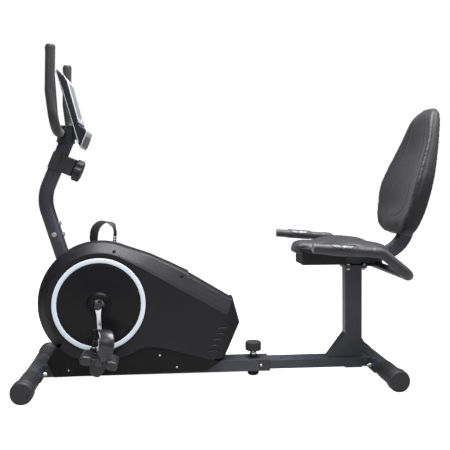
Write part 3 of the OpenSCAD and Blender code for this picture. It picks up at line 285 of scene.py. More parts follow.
def mesh_object(name, points, faces, look, sharp=35):
    """A mesh piece from points in the row frame and its faces, smooth except at sharp edges."""
    mesh = bpy.data.meshes.new(name)
    mesh.from_pydata([tuple(p) for p in points], [], faces)
    obj = bpy.data.objects.new(name, mesh)
    bpy.context.scene.collection.objects.link(obj)
    finish_mesh(obj, look, sharp)
    return obj


def finish_mesh(obj, look, sharp=35):
    """Merges doubled points, turns the faces outwards, shades smooth and gives the material."""
    bm = bmesh.new()
    bm.from_mesh(obj.data)
    bmesh.ops.remove_doubles(bm, verts=bm.verts, dist=1e-6)
    bmesh.ops.recalc_face_normals(bm, faces=bm.faces)
    bm.to_mesh(obj.data)
    bm.free()
    for face in obj.data.polygons:
        face.use_smooth = True
    obj.data.set_sharp_from_angle(angle=math.radians(sharp))
    obj.data.materials.clear()
    obj.data.materials.append(LOOKS[look])


def fixed(obj, body, slot, *nodes):
    """Hangs a piece on its CAD body, in place of the given CAD nodes."""
    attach(obj, body)
    if nodes:
        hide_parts(*nodes)


def grid_faces(rows, columns, closed_columns=True, closed_rows=False):
    """Faces of a grid of points given row by row."""
    faces = []
    for i in range(rows if closed_rows else rows - 1):
        here = i * columns
        above = (i + 1) % rows * columns
        for j in range(columns if closed_columns else columns - 1):
            k = (j + 1) % columns
            faces.append((here + j, here + k, above + k, above + j))
    return faces


def loft(name, loops, look, sharp=35, ends=True):
    """A skin over closed loops of equal length, with a face over each end."""
    count = len(loops[0])
    points = [p for loop in loops for p in loop]
    faces = grid_faces(len(loops), count)
    if ends:
        faces.append(tuple(range(count))[::-1])
        faces.append(tuple(range(len(points) - count, len(points))))
    return mesh_object(name, points, faces, look, sharp)


def axis_frame(axis):
    """Two unit vectors square to axis."""
    axis = axis.normalized()
    helper = SIDEWAYS if abs(axis.y) < 0.9 else Vector((1, 0, 0))
    u = helper.cross(axis).normalized()
    return u, axis.cross(u).normalized()


def lathe(name, profile, centre, axis, look, steps, sharp=35):
    """Turns a closed profile of (radius, height along axis), in millimetres, about an axis."""
    axis = axis.normalized()
    u, v = axis_frame(axis)
    points = []
    for k in range(steps):
        out = u * cosd(360 * k / steps) + v * sind(360 * k / steps)
        points += [centre + (out * r + axis * h) * MM for r, h in profile]
    return mesh_object(name, points, grid_faces(steps, len(profile), closed_rows=True), look, sharp)


CORNER_STEPS = 4


def rounded(profile, radius):
    """A closed 2D outline with every corner rounded by up to the given radius."""
    out = []
    for before, here, after in zip(profile[-1:] + profile[:-1], profile, profile[1:] + profile[:1]):
        here = Vector(here)
        a = Vector(before) - here
        b = Vector(after) - here
        cut = min(radius, a.length * 0.45, b.length * 0.45)
        start = here + a.normalized() * cut
        end = here + b.normalized() * cut
        for k in range(CORNER_STEPS + 1):
            t = k / CORNER_STEPS
            p = start * (1 - t) ** 2 + here * 2 * t * (1 - t) + end * t ** 2
            out.append((p.x, p.y))
    return out


def along_path(points, bend, steps):
    """The points of a path whose corners are rounded to radius bend; points and bend in metres."""
    out = [points[0]]
    for before, here, after in zip(points, points[1:], points[2:]):
        a = (before - here).normalized()
        b = (after - here).normalized()
        angle = math.pi - a.angle(b)
        start = here + a * (bend * math.tan(angle / 2))
        inward = (b - a * a.dot(b)).normalized()
        centre = start + inward * bend
        for k in range(steps + 1):
            turn = angle * k / steps
            out.append(centre - inward * bend * math.cos(turn) - a * bend * math.sin(turn))
    out.append(points[-1])
    return out


def sweep_loops(path, radii, steps):
    """Rings of points along a path; the radii are in metres."""
    side = None
    loops = []
    for i, (p, r) in enumerate(zip(path, radii)):
        ahead = path[min(i + 1, len(path) - 1)] - path[max(i - 1, 0)]
        ahead.normalize()
        if side is None:
            side = axis_frame(ahead)[0]
        side = (side - ahead * side.dot(ahead)).normalized()
        other = ahead.cross(side)
        angles = [360 * k / steps for k in range(steps)]
        loops.append([p + (side * cosd(a) + other * sind(a)) * r for a in angles])
    return loops


def even_path(path, spacing):
    """The same path with points at most spacing apart."""
    out = [path[0]]
    for a, b in zip(path, path[1:]):
        pieces = max(1, math.ceil((b - a).length / spacing))
        out += [a.lerp(b, k / pieces) for k in range(1, pieces + 1)]
    return out


def rod(a, b, radius, steps=40):
    """A closed round bar from a to b; radius in millimetres."""
    return loft("rod", sweep_loops([a, b], [radius * MM] * 2, steps), "cap_plastic")


def slab(name, outline, y0, y1, look, bevel, steps=3):
    """A plate with rounded edges in a piece's own millimetres: the outline is (x, z)."""
    count = len(outline)
    points = [Vector((x, y, z)) for y in (y0, y1) for x, z in outline]
    faces = [tuple(range(count)), tuple(range(2 * count - 1, count - 1, -1))] + grid_faces(2, count)
    obj = mesh_object(name, points, faces, look)
    modifier = obj.modifiers.new("round", "BEVEL")
    modifier.width = bevel
    modifier.segments = steps
    modifier.limit_method = "ANGLE"
    modifier.angle_limit = math.radians(40)
    settle(obj)
    finish_mesh(obj, look, 40)
    return obj


def rounded_box(name, low, high, look, bevel):
    """A box with rounded edges in a piece's own millimetres, given by two opposite corners."""
    outline = [(low[0], low[2]), (high[0], low[2]), (high[0], high[2]), (low[0], high[2])]
    return slab(name, outline, low[1], high[1], look, bevel)


def join(name, parts):
    """One piece from several."""
    bpy.ops.object.select_all(action="DESELECT")
    for part in parts:
        part.select_set(True)
    bpy.context.view_layer.objects.active = parts[0]
    bpy.ops.object.join()
    parts[0].name = name
    return parts[0]


def mirrored(obj, name):
    """A copy of a piece, mirrored from one side of the bike to the other."""
    copy = obj.copy()
    copy.data = obj.data.copy()
    copy.name = name
    bpy.context.scene.collection.objects.link(copy)
    copy.data.transform(Matrix.Scale(-1, 4, SIDEWAYS))
    copy.data.flip_normals()
    return copy


def settle(obj):
    """Applies the modifiers of a piece."""
    graph = bpy.context.evaluated_depsgraph_get()
    mesh = bpy.data.meshes.new_from_object(obj.evaluated_get(graph), depsgraph=graph)
    obj.modifiers.clear()
    old = obj.data
    obj.data = mesh
    bpy.data.meshes.remove(old)


def cut(obj, cutters, look, sharp):
    """Cuts closed cutter pieces out of obj and removes them."""
    cutter = join("cutter", cutters) if len(cutters) > 1 else cutters[0]
    modifier = obj.modifiers.new("cut", "BOOLEAN")
    modifier.operation = "DIFFERENCE"
    modifier.solver = "EXACT"
    modifier.object = cutter
    settle(obj)
    bpy.data.objects.remove(cutter)
    finish_mesh(obj, look, sharp)


def middle_of(node):
    low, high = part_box(node)
    return (Vector(low) + Vector(high)) / 2

# ---------------------------------------------------------------- housing

CRANK_S = 219
CRANK_Z = 272
HOUSING_W = 64
SHELL_T = 2.6
HOUSING_SHARP = 24
# the outline: an arc round the crank from the front foot, then straight stretches to the rear foot
SIDE_R = 178
CROWN_R = 215
ARC_START = 226
ARC_END = 68
ARC_STEPS = 60
SIDE_TAIL = [(359, 400), (450, 349), (545, 295), (661, 230), (658, 188), (634, 130), (612, 72)]
CROWN_TAIL = [(392, 441), (463, 409), (527, 378), (686, 284), (712, 192), (673, 102), (659, 72)]
COLUMN_SPACING = 12
# the side's flat face stops short of its rim, which is a small chamfer
RIM_INSET = 1.2
RIM_DROP = 0.9
# the band's crisp edge, as a share of the way from the side to the crown, and the half width there
BAND_EDGE = 0.78
BAND_W = 37
# the sunk panel in one stretch of the band: mesh columns at its ends, its lower edge, its depth
PANEL_STRETCH = 3
PANEL_FRONT = [0.012]
PANEL_REAR = [0.955, 0.967, 1.0]
PANEL_LOW = 0.46
PANEL_STEP = 0.012
PANEL_SINK = 4.2
PANEL_SINK_ALONG = (0.5, 0.35, 0.86)
LOW_ROWS = 6
HIGH_ROWS = 14
# the round recess for ring and disc
GROOVE_R = 164
GROOVE_TAPER = 1
RECESS = 1.5
RECESS_INNER = 137
ROUND_STEPS = 96
# upper edge of the lower cover: an arc under the ring, then a line back to the rear foot
TRIM_R = 197
TRIM_START = 228
TRIM_TURN = 63
TRIM_STEPS = 20
TRIM_TAIL = [(325, 98), (355, 117), (390, 124), (440, 118), (500, 101), (570, 82), (600, 75)]


def on_circle(radius, angle):
    return CRANK_S + radius * cosd(angle), CRANK_Z + radius * sind(angle)


def tail_shares():
    """Where the mesh columns fall along each straight stretch of the outline."""
    shares = []
    for a, b in zip([on_circle(SIDE_R, ARC_END)] + SIDE_TAIL, SIDE_TAIL):
        pieces = max(1, round(math.dist(a, b) / COLUMN_SPACING))
        shares.append([k / pieces for k in range(1, pieces + 1)])
    shares[PANEL_STRETCH] = PANEL_FRONT + shares[PANEL_STRETCH][:-1] + PANEL_REAR
    return shares


TAIL_SHARES = tail_shares()
PANEL_FIRST = ARC_STEPS + sum(len(shares) for shares in TAIL_SHARES[:PANEL_STRETCH])
PANEL_LAST = PANEL_FIRST + len(TAIL_SHARES[PANEL_STRETCH]) - 1


@functools.cache
def housing_line(t):
    """Side view of the housing: t = 0 at the side's rim, 1 at the crown."""
    radius = SIDE_R + (CROWN_R - SIDE_R) * t
    turn = (ARC_START - ARC_END) / ARC_STEPS
    line = [on_circle(radius, ARC_START - turn * i) for i in range(ARC_STEPS + 1)]
    last = line[-1]
    for shares, side, crown in zip(TAIL_SHARES, SIDE_TAIL, CROWN_TAIL):
        here = (side[0] * (1 - t) + crown[0] * t, side[1] * (1 - t) + crown[1] * t)
        line += [(last[0] + (here[0] - last[0]) * k, last[1] + (here[1] - last[1]) * k) for k in shares]
        last = here
    return line


def housing_width(t):
    """Half width of the housing at t: a broad band, a crisp edge, then a flatter crown."""
    if t < BAND_EDGE:
        return HOUSING_W + (BAND_W - HOUSING_W) * t / BAND_EDGE
    share = (t - BAND_EDGE) / (1 - BAND_EDGE)
    return BAND_W * math.sqrt(max(0.0, 1 - share ** 1.6))


def cover_edge():
    """Upper edge of the lower cover, from front to rear."""
    arc = [on_circle(TRIM_R, TRIM_START + TRIM_TURN * i / TRIM_STEPS) for i in range(TRIM_STEPS + 1)]
    # the line is rounded as a closed outline, so the points of its first corner are dropped
    return arc[:-1] + rounded(arc[-2:] + TRIM_TAIL, 14)[3:]


def inset_rim():
    """The side's rim, moved towards the crank by the chamfer's width."""
    line = housing_line(0)
    out = []
    for i, (s, z) in enumerate(line):
        along = (Vector(line[min(i + 1, len(line) - 1)]) - Vector(line[max(i - 1, 0)])).normalized()
        out.append((s + along.y * RIM_INSET, z - along.x * RIM_INSET))
    return out


def circle(radius):
    return [on_circle(radius, 360 * k / ROUND_STEPS) for k in range(ROUND_STEPS)]


def housing_side():
    """Flat side of the near shell with its round opening: (points, faces)."""
    bm = bmesh.new()
    for outline in (inset_rim() + cover_edge()[::-1], circle(GROOVE_R)):
        verts = [bm.verts.new(place(s, -HOUSING_W, z)) for s, z in outline]
        for a, b in zip(verts, verts[1:] + verts[:1]):
            bm.edges.new((a, b))
    bmesh.ops.triangle_fill(bm, use_beauty=True, use_dissolve=False, edges=bm.edges[:])
    bm.verts.index_update()
    points = [v.co.copy() for v in bm.verts]
    faces = [tuple(v.index for v in f.verts) for f in bm.faces]
    bm.free()
    return points, faces


def housing_rows(share):
    """Rows of the shell's mesh at a share of the way along the panel, or None beside it."""
    low = PANEL_LOW
    if share is not None:
        low = PANEL_LOW + 0.1 * share + 0.3 * (1 - smooth(share, 0.0, 0.12))
    below = [low * k / LOW_ROWS for k in range(LOW_ROWS + 1)]
    above = [low + PANEL_STEP + (1 - low - PANEL_STEP) * k / HIGH_ROWS for k in range(HIGH_ROWS + 1)]
    # one row of the upper part is moved on to the band's crisp edge
    nearest = min(range(1, HIGH_ROWS), key=lambda k: abs(above[k] - BAND_EDGE))
    above[nearest] = BAND_EDGE
    return below + above


def shell_column(j):
    """Points of the shell over one column of its outline, from the side's rim to the crown."""
    share = None
    if PANEL_FIRST <= j <= PANEL_LAST:
        share = (j - PANEL_FIRST) / (PANEL_LAST - PANEL_FIRST)
    column = []
    for i, t in enumerate(housing_rows(share)):
        s, z = housing_line(t)[j]
        y = max(0.5, housing_width(t))
        if PANEL_FIRST < j < PANEL_LAST and i > LOW_ROWS:
            back, inwards, down = (PANEL_SINK * k for k in PANEL_SINK_ALONG)
            s, y, z = s - back, max(0.5, y - inwards), z - down
        column.append(place(s, -y + (RIM_DROP if i == 0 else 0), z))
    return column


def housing_shell(name):
    """Near shell of the housing as one thin closed piece."""
    points, faces = housing_side()
    columns = [shell_column(j) for j in range(len(housing_line(0)))]
    loops = [[place(s, -HOUSING_W, z) for s, z in inset_rim()]]
    loops += [list(row) for row in zip(*columns)]
    # the two shells all but meet in the middle
    loops.append([Vector((p.x, -0.3 * MM, p.z)) for p in loops[-1]])
    base = len(points)
    points += [p for loop in loops for p in loop]
    faces += [tuple(base + i for i in f) for f in grid_faces(len(loops), len(columns), closed_columns=False)]
    # wall and floor of the recess that the ring sits in
    base = len(points)
    floor = HOUSING_W - RECESS
    for radius, y in ((GROOVE_R, HOUSING_W), (GROOVE_R - GROOVE_TAPER, floor), (RECESS_INNER, floor)):
        points += [place(s, -y, z) for s, z in circle(radius)]
    faces += [tuple(base + i for i in f) for f in grid_faces(3, ROUND_STEPS)]
    shell = mesh_object(name, points, faces, "housing_plastic", HOUSING_SHARP)
    thick = shell.modifiers.new("wall", "SOLIDIFY")
    thick.thickness = SHELL_T * MM
    thick.offset = -1
    settle(shell)
    finish_mesh(shell, "housing_plastic", HOUSING_SHARP)
    return shell


# (s, half width at which the head sits, z)
HOUSING_SCREWS = [(270, 56, 452), (503, 44, 362)]
SCREW_HOLE_R = 5.6
VENTS = 5
VENT_FOOT = (612, 104)
VENT_SHIFT = (8.5, 20)
VENT_R = 3
# a vent's middle line from its front end: (how far back, how far out of the side, how far up)
VENT_LINE = [(-16, 1.2, 1), (0, 1.2, 2.4), (14, 0.4, 2.4), (30, -9.5, 1)]
POST_HOLE_R = 27
POST_HOLE_Z = (300, 540)
POST_FOOT = (209, 62)
LOWER_LEAN = 18
UPPER_LEAN = 22
POST_BEND = (22, 637)


def lower_leg(z):
    return place(POST_FOOT[0] - (z - POST_FOOT[1]) * math.tan(math.radians(LOWER_LEAN)), 0, z)


def upper_leg(z):
    return place(POST_BEND[0] + (z - POST_BEND[1]) * math.tan(math.radians(UPPER_LEAN)), 0, z)


def vent_cutter(k):
    """Cutter of the shallow scallop number k, counted from below."""
    s = VENT_FOOT[0] + VENT_SHIFT[0] * k
    z = VENT_FOOT[1] + VENT_SHIFT[1] * k
    path = even_path([place(s + back, -HOUSING_W - out, z + up) for back, out, up in VENT_LINE], 0.006)
    return loft("vent", sweep_loops(path, [VENT_R * MM] * len(path), 12), "cap_plastic")


def build_housing():
    shell = housing_shell("left_shell")
    cutters = [rod(*(lower_leg(z) for z in POST_HOLE_Z), POST_HOLE_R)]
    for s, y, z in HOUSING_SCREWS:
        cutters.append(rod(place(s, -HOUSING_W - 16, z), place(s, -HOUSING_W + 30, z), SCREW_HOLE_R, 24))
    cutters += [vent_cutter(k) for k in range(VENTS)]
    cut(shell, cutters, "housing_plastic", HOUSING_SHARP)
    other = mirrored(shell, "right_shell")
    fixed(shell, "frame", "housing_plastic", "left_housing")
    fixed(other, "frame", "housing_plastic", "right_housing")


RING_OUTER = 159
RING_INNER = 143
RING_T = 4.5
DISC_R = 142.7
HUB_HOLE_R = 19
BOSSES = 6
BOSS_AT_R = 26
BOSS_R = 3.2
FLOOR = HOUSING_W - RECESS + 0.02
RING_PROFILE = [(RING_INNER, 0), (RING_OUTER, 0), (RING_OUTER, 3.4), (RING_OUTER - 3, RING_T),
                (RING_INNER + 3, RING_T), (RING_INNER, 3.4)]
DISC_PROFILE = [(HUB_HOLE_R, 0), (DISC_R, 0), (DISC_R, 2), (DISC_R - 4, 2.6), (DISC_R - 8, 1.6), (90, 1.9),
                (48, 3), (42, 3.2), (38, 11), (35.5, 12), (32, 11.6), (30, 8), (22, 7), (HUB_HOLE_R, 7)]
BOSS_PROFILE = [(0, 6), (BOSS_R, 6), (BOSS_R, 9.2), (0, 9.6)]


def on_floor(profile, round_by):
    """A profile drawn from the recess's floor, with rounded corners."""
    return rounded([(r, FLOOR + h) for r, h in profile], round_by)


def build_rings():
    """Bright ring, disc and hub cover on both sides."""
    for side, name in ((-1, "left"), (1, "right")):
        out = SIDEWAYS * side
        centre = place(CRANK_S, 0, CRANK_Z)
        ring = lathe(name + "_ring", on_floor(RING_PROFILE, 0.8), centre, out, "ring_plastic", 160)
        parts = [lathe("disc", on_floor(DISC_PROFILE, 0.8), centre, out, "disc_plastic", 160)]
        for k in range(BOSSES):
            s, z = on_circle(BOSS_AT_R, 360 / BOSSES * k + 12)
            parts.append(lathe("boss", on_floor(BOSS_PROFILE, 0.5), place(s, 0, z), out, "disc_plastic", 16))
        disc = join(name + "_disc", parts)
        fixed(ring, "frame", "ring_plastic", *(["ring_trims"] if side < 0 else []))
        fixed(disc, "frame", "disc_plastic", *(["disc_covers"] if side < 0 else []))


build_housing()
build_rings()

# ---------------------------------------------------------------- cranks

CRANK_ANGLE = -4
CRANK_LENGTH = 165
ARM_HUB_R = 11.5
ARM_EYE_R = 12.5
ARM_WAIST = 7.6
ARM_HALF_T = 6.6
ARM_THINNING = 1.2
ARM_Y = 85
ARM_JOGGLE = 4
EYE_SET_IN = 2.5
ARM_SQUARE = 0.6
ARM_STEPS = 60
ARM_ROUND = 32


def about(centre, angle, x, z):
    """Local (x, z) turned by angle degrees about +Y and put at centre, as (s, z)."""
    return (centre[0] + x * cosd(angle) + z * sind(angle), centre[1] - x * sind(angle) + z * cosd(angle))


def arm_half_width(d):
    """Half width of a crank arm at distance d below the axle."""
    if d < 0:
        return math.sqrt(max(0.0, ARM_HUB_R ** 2 - d * d))
    if d > CRANK_LENGTH:
        return math.sqrt(max(0.0, ARM_EYE_R ** 2 - (d - CRANK_LENGTH) ** 2))
    waist = ARM_HUB_R - (ARM_HUB_R - ARM_WAIST) * smooth(d, 0, 40)
    return waist + (ARM_EYE_R - waist) * smooth(d, 120, CRANK_LENGTH)


def crank_arm(name, side):
    """Rounded plated arm with a boss at each end and a slight outward joggle."""
    angle = CRANK_ANGLE + (180 if side > 0 else 0)
    loops = []
    low, high = 0.1 - ARM_HUB_R, CRANK_LENGTH + ARM_EYE_R - 0.1
    for i in range(ARM_STEPS + 1):
        d = low + (high - low) * (1 - math.cos(math.pi * i / ARM_STEPS)) / 2
        half = max(1.0, arm_half_width(d))
        thick = ARM_HALF_T - ARM_THINNING * (smooth(d, 20, 60) - smooth(d, 120, 150))
        y = ARM_Y + ARM_JOGGLE * smooth(d, 15, 90) - EYE_SET_IN * smooth(d, 120, 160)
        loop = []
        for k in range(ARM_ROUND):
            turn = 360 * k / ARM_ROUND
            s, z = about((CRANK_S, CRANK_Z), angle, half * squarish(cosd(turn), ARM_SQUARE), -d)
            loop.append(place(s, side * (y + thick * squarish(sind(turn), ARM_SQUARE)), z))
        loops.append(loop)
    return loft(name, loops, "crank_chrome", 50)


def build_cranks():
    parts = [crank_arm("left_arm", -1), crank_arm("right_arm", 1)]
    fixed(join("crank_arms_shape", parts), "crank", "crank_chrome", "crank_arms")


build_cranks()

# ---------------------------------------------------------------- pedals and straps

PEDAL_IN = 104
PEDAL_OUT = 196
PEDAL_MID = (PEDAL_IN + PEDAL_OUT) / 2
PEDAL_W = PEDAL_OUT - PEDAL_IN
LEFT_TILT = 13
RIGHT_TILT = 4
# one end of the pedal, as (distance from the spindle, height)
LOBE = [(24, -12), (36, -15), (54, -14), (62, -6), (62, 7), (53, 14), (36, 15), (24, 12)]
GRIP_RIBS = 5
RIB_FIRST = 33
RIB_PITCH = 6
RIB_HALF_T = 1.3
RIB_HEIGHT = 15.6
LAST_RIB_HEIGHT = 13.4
CROSS_BAR_Y = (PEDAL_IN + 12, PEDAL_MID, PEDAL_OUT - 12)
HUB_PROFILE = [(0, 0), (12, 0), (14, 2), (14, PEDAL_W - 5), (11, PEDAL_W + 1), (0, PEDAL_W + 1)]
COUNTERWEIGHT = [(-29, -8), (-25, -30), (-16, -48), (10, -50), (20, -34), (25, -8)]
COUNTERWEIGHT_Y = (122, 178)


def pedal_frame(side):
    """The matrix that puts a pedal drawn at its own origin, in millimetres, on its spindle."""
    angle = CRANK_ANGLE + (180 if side > 0 else 0)
    s, z = about((CRANK_S, CRANK_Z), angle, 0, -CRANK_LENGTH)
    turn = Matrix.Rotation(math.radians(LEFT_TILT if side < 0 else RIGHT_TILT), 4, "Y")
    return Matrix.Translation(place(s, 0, z)) @ turn @ Matrix.Scale(MM, 4)


def sided(side, near, far):
    """Lower and upper end of a stretch across the bike, on the given side."""
    return min(side * near, side * far), max(side * near, side * far)


def pedal_end(side, end):
    """The parts of a pedal's front (end = -1) or rear (end = 1) lobe."""
    look = "pedal_plastic"
    y0, y1 = sided(side, PEDAL_IN, PEDAL_OUT)
    parts = [slab("lobe", rounded([(end * x, z) for x, z in LOBE], 7), y0, y1, look, 5, 4)]
    for k in range(GRIP_RIBS):
        x = end * (RIB_FIRST + RIB_PITCH * k)
        height = RIB_HEIGHT if k < GRIP_RIBS - 1 else LAST_RIB_HEIGHT
        parts.append(rounded_box("rib", (x - RIB_HALF_T, y0 + 7, -height), (x + RIB_HALF_T, y1 - 7, height),
                                 look, 0.9))
    x0, x1 = sided(end, 0, 30)
    parts += [rounded_box("bar", (x0, side * y - 4, -9), (x1, side * y + 4, 9), look, 2) for y in CROSS_BAR_Y]
    return parts


def pedal_body(name, side):
    """Two ribbed lobes joined by a hub and cross bars, with the counterweight below."""
    look = "pedal_plastic"
    parts = pedal_end(side, -1) + pedal_end(side, 1)
    # the pedal is drawn in millimetres, so the lathe's metres are scaled back
    hub = [(r / MM, h / MM) for r, h in HUB_PROFILE]
    parts.append(lathe("barrel", hub, SIDEWAYS * side * PEDAL_IN, SIDEWAYS * side, look, 40))
    parts.append(slab("weight", rounded(COUNTERWEIGHT, 8), *sided(side, *COUNTERWEIGHT_Y), look, 4, 4))
    pedal = join(name, parts)
    pedal.data.transform(pedal_frame(side))
    finish_mesh(pedal, look, 38)
    return pedal


STRAP_R = 47.6
STRAP_HALF_W = 26
SLOTTED_HALF_W = 13
TONGUE_HALF_W = 9
STRAP_FOOT = 8
# where the band widens, as shares of its first leg, and narrows again, as shares of its arch
WIDENS = (0.2, 0.7)
NARROWS = (0.66, 0.86)
STRAP_STEPS = 80
# the band's cross section: (share of the half width, height over the middle)
STRAP_SECTION = [(-1, -0.8), (-1, 1), (-0.93, 1.7), (-0.84, 1.7), (-0.76, 0.9), (0.76, 0.9), (0.84, 1.7),
                 (0.93, 1.7), (1, 1), (1, -0.8), (0.93, -1.4), (-0.93, -1.4)]
SLOTS = 5
SLOT_FIRST = 14
SLOT_PITCH = 9
# (how far back the strap stands, how it is turned, the height at which its arch begins)
LEFT_STRAP = (-8, 180 + 27, 50)
RIGHT_STRAP = (8, -50, 61)


def strap_place(d, leg):
    """Place and outward direction of the band's middle line at length d, as (across, up)."""
    arch = math.pi * STRAP_R
    if d < leg:
        return (-STRAP_R, STRAP_FOOT + d), (-1, 0)
    if d > leg + arch:
        return (STRAP_R, STRAP_FOOT + leg - (d - leg - arch)), (1, 0)
    turn = (d - leg) / STRAP_R
    out = (-math.cos(turn), math.sin(turn))
    return (STRAP_R * out[0], STRAP_FOOT + leg + STRAP_R * out[1]), out


def strap(name, side):
    """The rubber band over the foot: wide over the arch, narrow and slotted down one leg."""
    middle, askew, spring = LEFT_STRAP if side < 0 else RIGHT_STRAP
    leg = spring - STRAP_FOOT
    arch = math.pi * STRAP_R
    loops = []
    for i in range(STRAP_STEPS + 1):
        d = (2 * leg + arch) * i / STRAP_STEPS
        (y, z), out = strap_place(d, leg)
        half = SLOTTED_HALF_W + (STRAP_HALF_W - SLOTTED_HALF_W) * smooth(d / leg, *WIDENS)
        half -= (STRAP_HALF_W - TONGUE_HALF_W) * smooth((d - leg) / arch, *NARROWS)
        loops.append([Vector((share * half, (y + out[0] * up) * side, z + out[1] * up))
                      for share, up in STRAP_SECTION])
    band = loft(name, loops, "strap_rubber", 40)
    slots = []
    for k in range(SLOTS):
        y, z = side * STRAP_R, SLOT_FIRST + SLOT_PITCH * k
        slots.append(rounded_box("slot", (-5, y - 8, z - 2.4), (5, y + 8, z + 2.4), "strap_rubber", 0.8))
    cut(band, slots, "strap_rubber", 40)
    # keepers that hook the band's ends on the pedal
    parts = [band]
    for y in (-side * STRAP_R, side * STRAP_R):
        low, high = (-12, y - 3.4, STRAP_FOOT), (12, y + 3.4, 21)
        parts.append(rounded_box("keeper", low, high, "strap_rubber", 1.4))
    whole = join(name, parts)
    turn = Matrix.Rotation(math.radians(askew), 4, "Z")
    whole.data.transform(Matrix.Translation((middle, side * PEDAL_MID, 0)) @ turn)
    whole.data.transform(pedal_frame(side))
    finish_mesh(whole, "strap_rubber", 40)
    return whole


def build_pedals():
    for side, name in ((-1, "left"), (1, "right")):
        body = name + "_pedal"
        fixed(pedal_body(name + "_pedal_shape", side), body, "pedal_plastic", body)
        fixed(strap(name + "_strap", side), body, "strap_rubber", body + "_strap")


build_pedals()

# ---------------------------------------------------------------- stabiliser caps, knobs, spring and screws

WHEELBASE = 1213
AXIS_Z = 36
# (radius, distance from the bike's middle)
CAP_PROFILE = [(30.2, 112), (31.2, 111.6), (31.8, 113), (31.8, 213), (34, 215.5), (36.4, 217), (37, 219.5),
               (37, 226), (35.4, 227.5), (35.4, 229.5), (37, 231), (37, 240), (35.5, 245.5), (31, 249.2),
               (25, 250), (23, 249), (0, 249), (0, 245), (30.2, 245)]


def end_cap(s, side):
    """Stepped plastic cap with a long sleeve; its underside is flat on the floor."""
    cap = lathe("cap", CAP_PROFILE, place(s, 0, AXIS_Z), SIDEWAYS * side, "cap_plastic", 96, 30)
    for vertex in cap.data.vertices:
        vertex.co.z = max(vertex.co.z, 0.0)
    finish_mesh(cap, "cap_plastic", 30)
    return cap


def build_caps():
    front = join("front_caps", [end_cap(0, -1), end_cap(0, 1)])
    rear = join("rear_caps", [end_cap(WHEELBASE, -1), end_cap(WHEELBASE, 1)])
    fixed(front, "frame", "cap_plastic", "front_end_caps")
    fixed(rear, "seat_carriage", "cap_plastic", "rear_end_caps")


# (depth below the top, share of the radius, share of the flutes' depth)
KNOB_TOP = [(6, 1.0, 1), (3, 0.975, 1), (0.8, 0.92, 0.7), (0, 0.84, 0.35), (0.3, 0.76, 0.1), (1.6, 0.71, 0),
            (1.4, 0.3, 0), (1.2, 0.0, 0)]


def lobed_knob(name, base, axis, height, radius, lobes, depth):
    """A hand knob with rounded lobes, a shallow dished face and rounded rims."""
    axis = axis.normalized()
    u, v = axis_frame(axis)
    steps = lobes * 12
    # (height, share of the radius, share of the flutes' depth)
    rings = [(0, 0.0, 0), (0, 0.72, 0.2), (0.4, 0.9, 0.7), (2.5, 0.985, 1), (5, 1.0, 1)]
    rings += [(height - down, share, fluted) for down, share, fluted in KNOB_TOP]
    loops = []
    for h, share, fluted in rings:
        loop = []
        for k in range(steps):
            a = 360 * k / steps
            dip = depth * fluted * (0.5 - 0.5 * cosd(lobes * a)) ** 2.2
            r = max(0.01, radius * share - dip)
            loop.append((base + axis * h + (u * cosd(a) + v * sind(a)) * r) * MM)
        loops.append(loop)
    return loft(name, loops, "cap_plastic", 30, ends=False)


TENSION_Z = 735
TENSION_ALONG = 27
TENSION_OUT = 61.5
LOCK_S = 762
LOCK_KNOB_Z = 86.5


def build_knobs():
    axis = Vector((cosd(UPPER_LEAN), 0, -sind(UPPER_LEAN)))
    up = Vector((sind(UPPER_LEAN), 0, cosd(UPPER_LEAN)))
    base = upper_leg(TENSION_Z) / MM + up * TENSION_ALONG + axis * TENSION_OUT
    knob = lobed_knob("tension_knob_shape", base, axis, height=27, radius=38, lobes=8, depth=7)
    shaft = lathe("shaft", [(0, -14), (6, -14), (6, 1), (0, 1)], base * MM, axis, "cap_plastic", 32)
    fixed(join("tension_knob_shape", [knob, shaft]), "tension_knob", "cap_plastic", "tension_knob")
    up = Vector((0, 0, 1))
    base = place(LOCK_S, 0, LOCK_KNOB_Z) / MM
    knob = lobed_knob("lock_knob_shape", base, up, height=32, radius=29, lobes=18, depth=2.2)
    collar = [(0, 84), (11, 84), (12, 85), (12, 88), (0, 88)]
    collar = lathe("collar", collar, place(LOCK_S, 0, 0), up, "cap_plastic", 40)
    fixed(join("lock_knob_shape", [knob, collar]), "seat_lock", "cap_plastic", "lock_knob")


SPRING_TURNS = 5
SPRING_WIRE_R = 0.4
SPRING_R = 5.5
SPRING_STEPS = 36


def build_spring():
    """The coil over the lock pin, built at the length of the CAD spring; the real one shortens as the knob is
    pulled up, this one keeps its length.
    """
    low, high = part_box("lock_spring")
    middle = middle_of("lock_spring")
    wire = SPRING_WIRE_R * MM
    out = SPRING_R * MM
    bottom = low[2] + wire
    height = high[2] - wire - bottom
    path = []
    for i in range(SPRING_STEPS * SPRING_TURNS + 1):
        share = i / (SPRING_STEPS * SPRING_TURNS)
        turn = 360 * SPRING_TURNS * share
        x, y = middle.x + out * cosd(turn), middle.y + out * sind(turn)
        path.append(Vector((x, y, bottom + height * share)))
    coil = loft("lock_coil", sweep_loops(path, [wire] * len(path), 10), "bright_steel")
    fixed(coil, "frame", "bright_steel", "lock_spring")
    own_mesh(coil)


# places of the bright screws as (s, y, z), and profiles of the heads as (radius, height)
COVER_SCREWS = [(117, 60.2, 49), (486, 60.2, 50), (427, 60.2, 92)]
SLEEVE_SCREW = (785, 40.2, 42)
SUNK_HEAD = [(0, -9), (4.4, -9), (4.4, -4.6), (3.4, -3.8), (1.6, -3.8), (0, -5.2)]
COVER_HEAD = [(0, -1), (3.2, -1), (3.2, 0.6), (2.3, 1.5), (0.9, 1.8), (0.9, 0.9), (0, 0.9)]
SLEEVE_HEAD = [(0, -1), (4.2, -1), (4.2, 0.7), (3, 1.9), (1.2, 2.2), (1.2, 1), (0, 1)]


